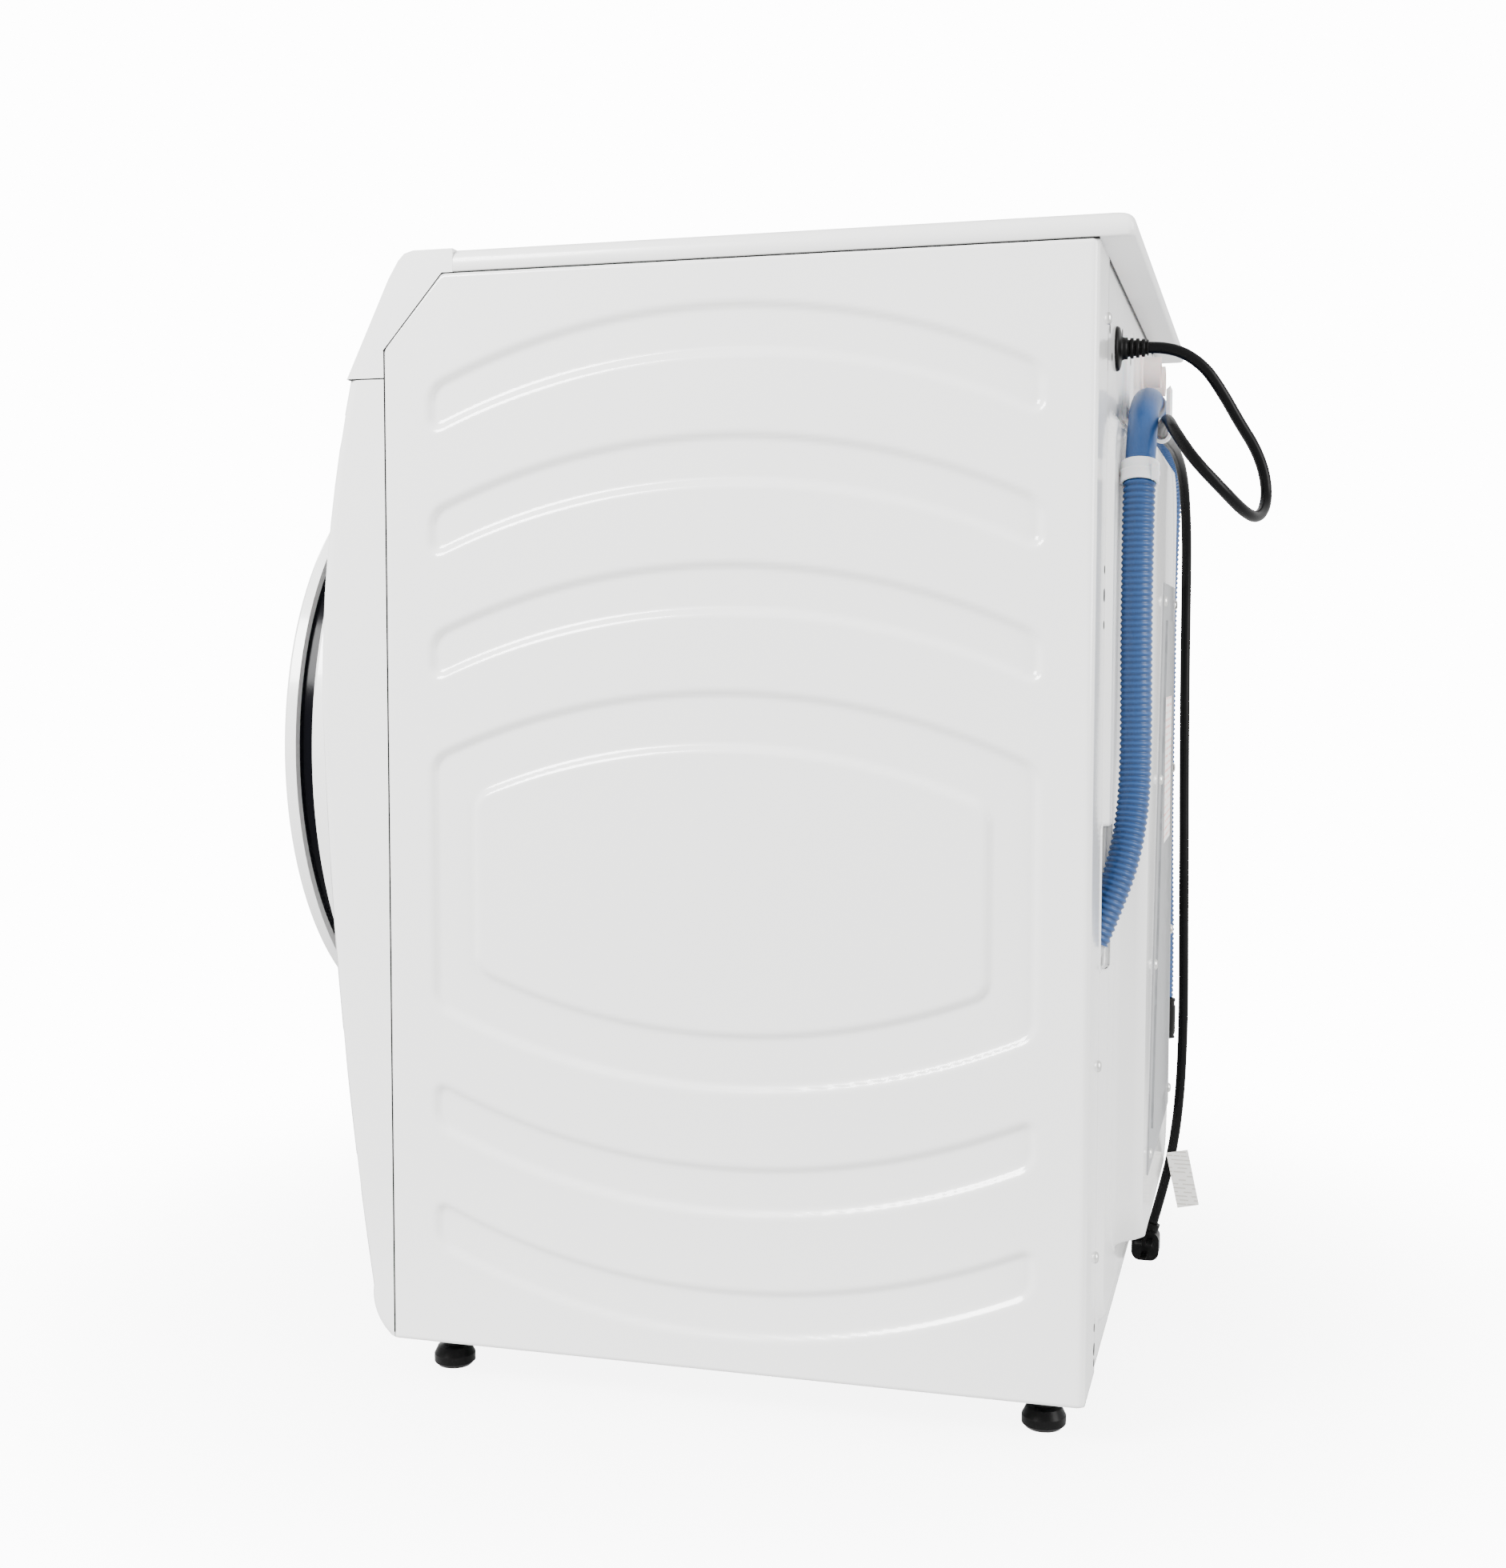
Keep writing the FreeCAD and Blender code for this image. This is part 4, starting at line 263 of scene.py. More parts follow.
def enamel(name, colour, roughness):
    """Stoved paint: a clear coat over a faint orange peel, with slight tone and gloss changes."""
    paint = Paint(name, Coat_Weight=0.5, Coat_Roughness=0.06, Specular_IOR_Level=0.5)
    cloud = paint.noise(3.2, 3)
    paint.set(Base_Color=paint.mix(cloud, shade(colour, 0.975), colour))
    smudge = paint.noise(14, 4)
    paint.set(Roughness=roughness + paint.fade(smudge, 0.45, 0.75) * 0.06)
    return paint.bump(paint.noise(420, 2), 0.00003).material


def moulded(name, colour, roughness, grain=900, depth=0.00002, coat=0.0, specular=0.5):
    """Injection-moulded plastic: a fine grain, mottled gloss and a trace of tone."""
    paint = Paint(name, Coat_Weight=coat, Coat_Roughness=0.08, Specular_IOR_Level=specular)
    cloud = paint.noise(9, 2)
    paint.set(Base_Color=paint.mix(cloud, shade(colour, 0.94), colour))
    paint.set(Roughness=roughness + paint.noise(60, 3) * 0.08 - 0.04)
    return paint.bump(paint.noise(grain, 2), depth).material


def galvanised(name, colour):
    """Zinc-coated sheet: spangle of crystals in slightly different greys, with a dull bloom."""
    paint = Paint(name, Metallic=0.92)
    cells = {"Vector": paint.place(), "Scale": 95}
    spangle = paint.node("TexVoronoi", cells, output="Color")
    tone = paint.node("SeparateColor", {"Color": spangle})
    bloom = paint.noise(18, 4)
    colour_now = paint.mix(tone * 0.7 + bloom * 0.3, shade(colour, 0.82), colour)
    paint.set(Base_Color=colour_now, Roughness=0.3 + tone * 0.12 + bloom * 0.1)
    return paint.bump(tone, 0.00001).material


def plated(name, colour, roughness=0.28):
    """Zinc or steel hardware with fine turning marks and handling wear."""
    paint = Paint(name, Metallic=1.0)
    wear = paint.noise(130, 4)
    paint.set(Base_Color=paint.mix(wear, shade(colour, 0.8), colour))
    paint.set(Roughness=roughness + wear * 0.12)
    return paint.bump(paint.noise(300, 2, (1, 1, 6)), 0.00001).material


def stainless_drum(name):
    """Rolled stainless sheet with round holes in rows and soft dimples between them, each hole painted near
    black as painted shade.
    """
    paint = Paint(name, Metallic=1.0)
    x, y, z = paint.axes()
    across, rise = x, z - DRUM_Z
    reach = paint.math("SQRT", across * across + rise * rise)
    angle = paint.math("ARCTAN2", across, rise)
    column, row = angle * (108 / math.tau), y * (1 / 0.0135)
    shift = paint.math("FLOORED_MODULO", paint.math("FLOOR", row), 2) * 0.5
    u = paint.math("FRACT", column + shift) - 0.5
    w = paint.math("FRACT", row) - 0.5
    from_hole = paint.math("SQRT", u * u + w * w)
    wall = paint.fade(reach, DRUM_R - 0.004, DRUM_R - 0.002)
    hole_shade = paint.fade(from_hole, 0.15, 0.11) * wall
    rim = paint.fade(from_hole, 0.3, 0.16) * wall
    brushed = paint.noise(700, 3, (1, 0.03, 1))
    steel = paint.mix(brushed, (0.5, 0.5, 0.5), (0.72, 0.72, 0.71))
    # Painted shade: each hole is near black, for the dark seen through it.
    paint.set(Base_Color=paint.mix(hole_shade, steel, (0.01, 0.01, 0.01)))
    paint.set(Roughness=0.22 + brushed * 0.12 + hole_shade * 0.5, Metallic=1.0 - hole_shade)
    return paint.bump(rim * 0.6 - hole_shade, 0.0012).material


def cast(name, colour, metallic=1.0):
    """Sand or die casting: a coarse skin, with painted shade in the hollows of its bump."""
    paint = Paint(name, Metallic=metallic)
    skin = paint.noise(210, 5)
    # Painted shade: the colour darkens where the skin's bump is low.
    paint.set(Base_Color=paint.mix(skin, shade(colour, 0.72), colour))
    paint.set(Roughness=0.48 + skin * 0.2)
    return paint.bump(skin, 0.00025).material


def rubber(name, colour, roughness=0.55, specular=0.4):
    """Cured rubber with a trace of dust."""
    paint = Paint(name, Specular_IOR_Level=specular)
    dust = paint.noise(40, 5)
    paint.set(Base_Color=paint.mix(paint.fade(dust, 0.45, 0.8), colour, shade(colour, 1.5)))
    paint.set(Roughness=roughness + dust * 0.15)
    return paint.bump(paint.noise(500, 3), 0.00003).material


def smoked(name, colour):
    """Deep tinted acrylic: nearly opaque, with a hard gloss."""
    paint = Paint(name, Coat_Weight=0.1, Coat_Roughness=0.02, Specular_IOR_Level=0.12)
    paint.set(Base_Color=paint.mix(paint.noise(6, 2), shade(colour, 0.8), colour))
    return paint.set(Roughness=0.04 + paint.noise(30, 3) * 0.05).material


def bowl_glass(name):
    """Pressed glass with the faint ripple that moulding leaves."""
    paint = Paint(name, Transmission_Weight=1.0, IOR=1.5)
    ripple = paint.noise(24, 2)
    paint.set(Base_Color=paint.mix(ripple, (0.86, 0.92, 0.91), (0.93, 0.97, 0.96)))
    paint.set(Roughness=0.01 + ripple * 0.02)
    return paint.bump(ripple, 0.0004).material


def hose_plastic(name, colour):
    """Blue blow-moulded hose with random streaks, and painted light and shade from its ridges: paler on
    each ridge top, darker in each valley.
    """
    paint = Paint(name, Coat_Weight=0.1, Coat_Roughness=0.25, Specular_IOR_Level=0.3)
    # Painted light and shade: the attribute read here is high on each ridge top and low in each valley.
    crest_shade = paint.node("Attribute", output="Fac", attribute_name="crest_shade")
    streak = paint.noise(50, 3)
    tone = crest_shade * 0.85 + streak * 0.15
    # The valleys get painted shade at 0.42 of the colour; the ridge tops get the full colour as painted
    # light.
    paint.set(Base_Color=paint.mix(tone, shade(colour, 0.42), colour))
    paint.set(Roughness=0.34 + streak * 0.12)
    return paint.bump(paint.noise(380, 2), 0.00004).material


def translucent(name, colour):
    """Milky nylon that lets a little light through."""
    paint = Paint(name, Subsurface_Weight=0.35, Subsurface_Scale=0.004, Coat_Weight=0.2)
    cloud = paint.noise(70, 3)
    paint.set(Base_Color=paint.mix(cloud, shade(colour, 0.93), colour), Roughness=0.3 + cloud * 0.12)
    return paint.bump(paint.noise(600, 2), 0.00002).material


def printed_paper(name, ground, ink, pitch, across):
    """Coated paper with rows of plain printed bars, broken into uneven lengths."""
    paint = Paint(name)
    axes = dict(zip("xyz", paint.axes()))
    along, rise = axes[across], axes["z"]
    row = rise / pitch
    inside = paint.fade(paint.math("ABSOLUTE", paint.math("FRACT", row) - 0.5), 0.2, 0.14)
    line = paint.node("CombineXYZ", {"X": along * 160, "Y": paint.math("FLOOR", row) * 7.3})
    gaps = paint.fade(paint.node("TexNoise", {"Vector": line, "Scale": 1.0, "Detail": 0}), 0.42, 0.46)
    paint.set(Base_Color=paint.mix(inside * gaps * 0.75, ground, ink))
    paint.set(Roughness=0.45 + paint.noise(80, 3) * 0.1)
    return paint.bump(paint.noise(260, 3), 0.00003).material


RECIPES = (
    ("cabinet_paint", enamel, (0.80, 0.80, 0.79), 0.2),
    ("white_plastic", moulded, (0.82, 0.82, 0.815), 0.2, 700, 0.00001, 0.4),
    ("pale_moulding", moulded, (0.66, 0.67, 0.67), 0.42),
    ("worktop_laminate", moulded, (0.80, 0.80, 0.79), 0.3, 1400, 0.00002, 0.25),
    ("galvanised", galvanised, (0.42, 0.43, 0.44)),
    ("zinc_screws", plated, (0.74, 0.74, 0.72)),
    ("door_dark", moulded, (0.0008, 0.0009, 0.002), 0.16, 900, 0.00001, 0.0, 0.06),
    ("door_smoked", smoked, (0.005, 0.0055, 0.008)),
    ("door_bowl", bowl_glass),
    ("display", smoked, (0.002, 0.002, 0.003)),
    ("knob_silver", moulded, (0.80, 0.80, 0.80), 0.24, 900, 0.00001, 0.4),
    ("gasket_rubber", rubber, (0.23, 0.24, 0.25)),
    ("tub_plastic", moulded, (0.55, 0.56, 0.55), 0.5, 300, 0.00008),
    ("stainless", stainless_drum),
    ("cast_alloy", cast, (0.6, 0.6, 0.61)),
    ("belt_rubber", rubber, (0.012, 0.012, 0.012), 0.55, 0.15),
    ("motor_body", cast, (0.2, 0.2, 0.21)),
    ("ballast", cast, (0.38, 0.36, 0.34), 0.0),
    ("spring_steel", plated, (0.5, 0.5, 0.5), 0.35),
    ("damper_plastic", moulded, (0.012, 0.012, 0.014), 0.4, 900, 0.00002, 0.0, 0.2),
    ("pump_plastic", moulded, (0.4, 0.41, 0.41), 0.45),
    ("hose_blue", hose_plastic, (0.017, 0.070, 0.215)),
    ("clip_white", translucent, (0.82, 0.83, 0.84)),
    ("black_plastic", moulded, (0.002, 0.002, 0.002), 0.38, 400, 0.00005, 0.0, 0.1),
    ("cord_black", rubber, (0.0015, 0.0015, 0.0018), 0.24, 0.1),
    ("tag_paper", printed_paper, (0.78, 0.77, 0.74), (0.45, 0.42, 0.38), 0.0036, "y"),
    ("spout_nylon", translucent, (0.80, 0.70, 0.67)),
)
MATERIALS = {name: maker(name, *values) for name, maker, *values in RECIPES}
RECORD_SLOTS = {part["node"]: part["material_slot"] for part in frame["record"]["subparts"]}


def pale_floor():
    """A white sweep of paper that lets the surround through more and more towards its rim."""
    paint = Paint("studio_paper", Specular_IOR_Level=0.1)
    x, y, _ = paint.axes()
    reach = paint.math("SQRT", x * x + y * y)
    fibre = paint.noise(30, 3)
    paint.set(Base_Color=paint.mix(fibre, (0.93, 0.93, 0.93), (0.95, 0.95, 0.95)))
    paint.set(Roughness=0.8 + fibre * 0.1)
    return paint.set(Alpha=paint.fade(reach, 0.3, 1.0, 0.55, 0.0)).material


studio_floor.data.materials.append(pale_floor())


def finish_cad_nodes():
    """Gives each carried-over node its slot's material."""
    for name, obj in NODES.items():
        obj.data.materials.clear()
        obj.data.materials.append(MATERIALS[RECORD_SLOTS[name]])


finish_cad_nodes()

# ---------------------------------------------------------------- mesh helpers


def new_object(name, verts, faces, smooth=True):
    """An object with a mesh of these points and faces."""
    data = bpy.data.meshes.new(name)
    data.from_pydata([tuple(v) for v in verts], [], faces)
    data.validate()
    data.update()
    if smooth:
        data.polygons.foreach_set("use_smooth", [True] * len(data.polygons))
    return linked(name, data)


def finish_piece(obj, slot, body="cabinet", replaced=()):
    """Puts the material on a piece, hangs it on its body and hides the frame's parts that it stands for."""
    obj.data.materials.append(MATERIALS[slot])
    if body:
        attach(obj, body)
    if replaced:
        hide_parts(*replaced)
    return obj


def grid(name, columns, rows, point, keep=None):
    """A sheet of quads through point(u, v) for u in columns and v in rows; keep(u, v) can drop a quad."""
    verts = [point(u, w) for w in rows for u in columns]
    wide = len(columns)
    faces = []
    for j in range(len(rows) - 1):
        for i in range(wide - 1):
            middle = (columns[i] + columns[i + 1]) / 2, (rows[j] + rows[j + 1]) / 2
            if keep is None or keep(*middle):
                a = j * wide + i
                faces.append((a, a + 1, a + wide + 1, a + wide))
    return new_object(name, verts, faces)


def steps(low, high, pitch, also=()):
    """Even steps from low to high, with the nearest of them moved onto each of the extra values."""
    count = max(1, round((high - low) / pitch))
    values = [low + (high - low) * i / count for i in range(count + 1)]
    for extra in also:
        near = min(range(1, count), key=lambda i: abs(values[i] - extra))
        values[near] = extra
    return values


def smoothstep(value, width):
    """0 up to zero, 1 from the width on, and a soft step between."""
    t = min(max(value / width, 0.0), 1.0)
    return t * t * (3 - 2 * t)


def rounded_min(a, b, radius):
    """How deep a point is inside two edges that meet in a rounded corner."""
    if a >= radius or b >= radius:
        return min(a, b)
    return radius - math.hypot(radius - a, radius - b)


def thicken(obj, thickness):
    """Gives a sheet its thickness, inwards from its face."""
    mod = obj.modifiers.new("thickness", "SOLIDIFY")
    mod.thickness, mod.offset = thickness, -1.0
    return obj


def in_mm(profile):
    """A profile given in millimetres, in metres."""
    return [(r * MM, along * MM) for r, along in profile]


def ring_faces(rings, sides):
    """The quads between closed rings of points."""
    faces = []
    for j in range(rings - 1):
        for i in range(sides):
            a, b = j * sides + i, j * sides + (i + 1) % sides
            faces.append((a, b, b + sides, a + sides))
    return faces


def lathe(name, profile, axis_point, axis, sides=64, start=None):
    """Turns (radius, distance along the axis) points about an axis into a closed surface."""
    axis = Vector(axis).normalized()
    across = Vector(start or (0, 0, 1))
    across = (across - axis * across.dot(axis)).normalized()
    other = axis.cross(across)
    origin = Vector(axis_point)
    verts = []
    for r, along in profile:
        for i in range(sides):
            turn = math.tau * i / sides
            verts.append(origin + axis * along + (across * math.cos(turn) + other * math.sin(turn)) * r)
    return new_object(name, verts, ring_faces(len(profile), sides))


def box_piece(name, low, high, bevel):
    """A block with rounded edges."""
    mesh = bmesh.new()
    bmesh.ops.create_cube(mesh, size=1.0)
    low, high = Vector(low), Vector(high)
    for vert in mesh.verts:
        vert.co = Vector([(low[k] + high[k]) / 2 + vert.co[k] * (high[k] - low[k]) for k in range(3)])
    bmesh.ops.bevel(mesh, geom=mesh.edges[:], offset=bevel, segments=3, affect="EDGES", profile=0.5)
    data = bpy.data.meshes.new(name)
    mesh.to_mesh(data)
    mesh.free()
    data.polygons.foreach_set("use_smooth", [True] * len(data.polygons))
    return linked(name, data)


def joined(name, pieces):
    """Makes one piece of several, with their modifiers applied."""
    mesh = bmesh.new()
    bpy.context.view_layer.update()
    graph = bpy.context.evaluated_depsgraph_get()
    for piece in pieces:
        data = piece.evaluated_get(graph).to_mesh()
        mesh.from_mesh(data)
    made = bpy.data.meshes.new(name)
    mesh.to_mesh(made)
    mesh.free()
    for piece in pieces:
        bpy.data.objects.remove(piece)
    made.materials.clear()
    return linked(name, made)


def tube(name, points, radius_at, sides=20, ends=True):
    """A tube along close points, and each point's distance; radius_at(distance) gives the radius."""
    verts, distances = [], []
    along = 0.0
    normal = None
    for i, here in enumerate(points):
        before, after = points[max(i - 1, 0)], points[min(i + 1, len(points) - 1)]
        heading = (after - before).normalized()
        if normal is None:
            normal = heading.orthogonal().normalized()
        else:
            along += (here - points[i - 1]).length
            normal = (normal - heading * normal.dot(heading)).normalized()
        other = heading.cross(normal)
        distances.append(along)
        r = radius_at(along)
        for k in range(sides):
            turn = math.tau * k / sides
            verts.append(here + (normal * math.cos(turn) + other * math.sin(turn)) * r)
    faces = ring_faces(len(points), sides)
    if ends:
        last = (len(points) - 1) * sides
        faces.append(tuple(reversed(range(sides))))
        faces.append(tuple(last + k for k in range(sides)))
    return new_object(name, verts, faces), distances


# ---------------------------------------------------------------- drain hose and power cord

HOSE_ROUTE = [
    (0.214, 0.297, 0.348),
    (0.209, 0.307, 0.374),
    (0.201, 0.317, 0.404),
    (0.190, 0.3225, 0.440),
    (0.181, 0.3235, 0.482),
    (0.178, 0.3222, 0.560),
    (0.179, 0.3222, 0.640),
    (0.172, 0.3226, 0.698),
    (0.137, 0.3225, 0.741),
    (0.080, 0.3225, 0.751),
    (0.000, 0.321, 0.748),
    (-0.080, 0.3195, 0.749),
    (-0.160, 0.3195, 0.745),
    (-0.212, 0.321, 0.724),
    (-0.233, 0.318, 0.678),
    (-0.236, 0.316, 0.600),
    (-0.235, 0.3163, 0.515),
    (-0.236, 0.316, 0.430),
    (-0.235, 0.317, 0.350),
    (-0.232, 0.319, 0.285),
    (-0.228, 0.319, 0.232),
]
CORD_ROUTE = [
    (0.150, 0.326, 0.781),
    (0.150, 0.343, 0.781),
    (0.147, 0.365, 0.768),
    (0.142, 0.379, 0.748),
    (0.133, 0.391, 0.727),
    (0.1195, 0.404, 0.707),
    (0.113, 0.411, 0.686),
    (0.121, 0.4115, 0.666),
    (0.142, 0.406, 0.655),
    (0.167, 0.397, 0.658),
    (0.189, 0.382, 0.673),
    (0.197, 0.362, 0.694),
    (0.184, 0.3475, 0.716),
    (0.156, 0.341, 0.728),
    (0.126, 0.337, 0.729),
    (0.096, 0.3325, 0.7275),
    (0.060, 0.331, 0.727),
    (0.015, 0.332, 0.727),
    (-0.035, 0.3355, 0.725),
    (-0.084, 0.340, 0.708),
    (-0.112, 0.342, 0.664),
    (-0.120, 0.342, 0.612),
    (-0.121, 0.342, 0.555),
    (-0.120, 0.3425, 0.497),
    (-0.1215, 0.343, 0.438),
    (-0.120, 0.344, 0.380),
    (-0.121, 0.3445, 0.322),
    (-0.1195, 0.3455, 0.265),
    (-0.1205, 0.3455, 0.210),
    (-0.119, 0.3435, 0.158),
    (-0.120, 0.3385, 0.115),
    (-0.120, 0.331, 0.080),
    (-0.120, 0.322, 0.046),
]
HOSE_R, CORD_R = 12 * MM, 4.25 * MM
RIDGE_PITCH, RIDGE_DEPTH, PLAIN_DROP = 4.4 * MM, 1.3 * MM, 0.9 * MM
SMOOTH_HOSE = (0.355, 0.500)
HOSE_SIDES = 20


def route_curve(name, route, fineness):
    """A smooth NURBS line with the route's points as its control points."""
    curve = bpy.data.curves.new(name, "CURVE")
    curve.dimensions = "3D"
    spline = curve.splines.new("NURBS")
    spline.points.add(len(route) - 1)
    for point, place in zip(spline.points, route):
        point.co = (*place, 1)
    spline.order_u = 3
    spline.use_endpoint_u = True
    spline.resolution_u = fineness
    return linked(name, curve)


def line_points(curve_obj):
    """The points of a curve that has no bevel."""
    bpy.context.view_layer.update()
    graph = bpy.context.evaluated_depsgraph_get()
    data = bpy.data.meshes.new_from_object(curve_obj.evaluated_get(graph))
    points = [v.co.copy() for v in data.vertices]
    bpy.data.meshes.remove(data)
    return points


def length_of(points):
    """The length of the line through the points."""
    return sum((b - a).length for a, b in zip(points, points[1:]))


def build_drain_hose():
    """The corrugated hose, with a plain stretch above its band."""
    guide = route_curve("hose_line", HOSE_ROUTE, 64)
    points = line_points(guide)
    bpy.data.objects.remove(guide)

    def ridged(along):
        """How high the ridges' wave is, and how far the hose is plain."""
        wave = 0.5 + 0.5 * math.cos(math.tau * along / RIDGE_PITCH)
        calm = smoothstep(along - SMOOTH_HOSE[0], 0.004) * smoothstep(SMOOTH_HOSE[1] - along, 0.004)
        return wave, calm

    def radius_at(along):
        wave, calm = ridged(along)
        return HOSE_R - RIDGE_DEPTH * (1 - wave) * (1 - calm) - PLAIN_DROP * calm

    hose, distances = tube("drain_hose_visual", points, radius_at, HOSE_SIDES)
    # Painted light and shade for the hose colour: 1 on each ridge top, 0 in each valley, 0.8 along the
    # plain stretch.
    crest_shade = hose.data.attributes.new("crest_shade", "FLOAT", "POINT")
    for i, along in enumerate(distances):
        wave, calm = ridged(along)
        for k in range(HOSE_SIDES):
            crest_shade.data[i * HOSE_SIDES + k].value = wave * (1 - calm) + 0.8 * calm
    finish_piece(hose, "hose_blue", replaced=["drain_hose"])
    return hose, points


def build_hose_cuff(points):
    """The rubber cuff on the hose's free end: a ribbed collar and an open mouth."""
    tip = points[-1]
    heading = (tip - points[-4]).normalized()
    ribs = [(12.4, 0.4), (13.6, 1.0), (14, 2.5), (13.2, 4), (13.2, 7), (14, 8), (14, 33), (13.2, 34.5)]
    ribs += [(13.2, 36), (14, 37), (13.6, 37.8), (11.5, 37.8), (11, 36), (11, 8), (0.01, 8)]
    cuff = lathe("hose_cuff", in_mm(ribs), tip, heading, 40)
    return finish_piece(cuff, "black_plastic", replaced=["drain_hose_end"])


def build_hose_band(points):
    """The white band round the hose at the foot of its plain stretch, with its latch."""
    low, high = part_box("hose_clip")
    middle = Vector([(a + b) / 2 for a, b in zip(low, high)])
    near = min(range(2, len(points) - 2), key=lambda i: (points[i] - middle).length)
    reach = length_of(points[: near + 1])
    while reach < SMOOTH_HOSE[0] - 0.008:
        near += 1
        reach += (points[near] - points[near - 1]).length
    centre, heading = points[near], (points[near + 2] - points[near - 2]).normalized()
    profile = [(12.1, -8), (13.6, -8), (14.1, -7.4), (14.1, -1), (14.7, -0.6)]
    profile += [(14.7, 0.6), (14.1, 1), (14.1, 7.4), (13.6, 8), (12.1, 8)]
    band = lathe("band_ring", in_mm(profile), centre, heading, 48)
    latch_low, latch_high = Vector((0.009, 0.009, -0.006)), Vector((0.0135, 0.0135, 0.006))
    latch = box_piece("band_latch", centre + latch_low, centre + latch_high, 0.0008)
    ring = joined("hose_band", [band, latch])
    return finish_piece(ring, "clip_white", replaced=["hose_clip"])


def build_cord():
    """The power cord, and its length."""
    cord = route_curve("power_cord_visual", CORD_ROUTE, 24)
    length = length_of(line_points(cord))
    cord.data.bevel_depth = CORD_R
    cord.data.bevel_resolution = 6
    cord.data.use_fill_caps = True
    finish_piece(cord, "cord_black", replaced=["power_cord"])
    return cord, length


hose, hose_points = build_drain_hose()
cuff = build_hose_cuff(hose_points)
band = build_hose_band(hose_points)
cord, cord_length = build_cord()


def build_gland():
    """The cord's black grommet: a domed flange, then a tapered strain relief with ribs."""
    low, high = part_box("cord_gland")
    x, z = (low[0] + high[0]) / 2, (low[2] + high[2]) / 2
    face = REAR_Y - STEEL
    profile = [(10, -3), (16.4, -1), (16.4, 1.2), (15.6, 2.4), (12.5, 3.4), (9.4, 3.9), (8.4, 4.8)]
    for i in range(4):
        along, r = 6 + 4.2 * i, 8.0 - 0.45 * i
        profile += [(r, along), (r, along + 2.2), (r - 1.7, along + 2.5), (r - 1.7, along + 3.9)]
    profile += [(6.2, 22.6), (5.6, 23.4), (4.3, 23.5)]
    gland = lathe("cord_gland_visual", in_mm(profile), (x, face, z), (0, 1, 0), 48)
    return finish_piece(gland, "black_plastic", replaced=["cord_gland"])


build_gland()
length_of(hose_points)
[tuple(p) for p in hose_points]

# ---------------------------------------------------------------- side panels

BEAD_DEPTH, BEAD_WALL, BEAD_CORNER = 4 * MM, 5.4 * MM, 12 * MM
BEAD_Y, BEAD_Z = (SEAM_Y + REAR_Y) / 2, 0.3845
BEAD_HALF, BEAD_ARC, BEAD_BAND, BEAD_PITCH = 0.2275, 0.530, 0.038, 0.091
RING_SIDE, RING_TALL = 0.034, 0.039
CHEEK_RISE, CHEEK_RUN = 0.054, 0.0475
PANEL_PITCH = 2.6 * MM


def inside_arcs(y, z, half, high_z, low_z, radius, low_sign):
    """How far a point is inside a bead: below the upper arc, beyond the lower one and between its ends."""
    from_middle = y - BEAD_Y
    below_top = radius - math.hypot(from_middle, z - (high_z - radius))
    if low_sign > 0:
        above_low = math.hypot(from_middle, z - (low_z - radius)) - radius
    else:
        above_low = radius - math.hypot(from_middle, z - (low_z + radius))
    side = half - abs(from_middle)
    return rounded_min(min(below_top, above_low), side, BEAD_CORNER)


def bead_depth(y, z):
    """How deep the side panel is pressed in at a point of its face."""
    depth = 0.0
    rise = 1.6 * BEAD_PITCH
    for height, rows in ((z, (1, 2, 3)), (2 * BEAD_Z - z, (1, 2))):
        for row in rows:
            top = BEAD_Z + rise + row * BEAD_PITCH
            inside = inside_arcs(y, height, BEAD_HALF, top, top - BEAD_BAND, BEAD_ARC, 1)
            depth = max(depth, smoothstep(inside, BEAD_WALL))
    outer = inside_arcs(y, z, BEAD_HALF, BEAD_Z + rise, BEAD_Z - rise, BEAD_ARC, -1)
    half, tall = BEAD_HALF - RING_SIDE, rise - RING_TALL
    island = inside_arcs(y, z, half, BEAD_Z + tall, BEAD_Z - tall, BEAD_ARC - BEAD_BAND, -1)
    ring = min(outer, -island + BEAD_WALL)
    return max(depth, smoothstep(ring, BEAD_WALL)) * BEAD_DEPTH


def build_side_panel(side, sign):
    """The pressed side wall: its face with the curved beads, the rear fold and the rear flange."""
    flat_end = REAR_Y - CORNER_FOLD
    flat = steps(0, flat_end - SEAM_Y, PANEL_PITCH)
    arc = CORNER_FOLD * math.pi / 2
    turn = [flat[-1] + arc * i / 8 for i in range(1, 9)]
    flange = steps(turn[-1], turn[-1] + HALF_X - CORNER_FOLD - FLANGE_X, 0.006)[1:]
    rows = steps(FOOT_GAP, COVER_Z, PANEL_PITCH)
    top_band = COVER_Z - 0.075

    def point(u, z):
        if u <= flat[-1]:
            y = SEAM_Y + u
            edge = 0.0012 * (1 - smoothstep(u, 0.003))
            x = HALF_X - bead_depth(y, z) - edge
        elif u <= turn[-1]:
            angle = (u - flat[-1]) / CORNER_FOLD
            y = flat_end + CORNER_FOLD * math.sin(angle)
            x = HALF_X - CORNER_FOLD + CORNER_FOLD * math.cos(angle)
        else:
            y, x = REAR_Y, HALF_X - CORNER_FOLD - (u - turn[-1])
        ceiling = min(COVER_Z, COVER_Z - CHEEK_RISE + max(u, 0) * CHEEK_RISE / CHEEK_RUN)
        if z > top_band:
            z = top_band + (z - top_band) * (ceiling - top_band) / (COVER_Z - top_band)
        return sign * x, y, z

    panel = grid(f"side_panel_{side}_visual", flat + turn + flange, rows, point)
    if sign < 0:
        panel.data.flip_normals()
    thicken(panel, STEEL)
    return finish_piece(panel, "cabinet_paint", replaced=[f"side_panel_{side}"])


build_side_panel("right", 1)
build_side_panel("left", -1)

# ---------------------------------------------------------------- rear wall

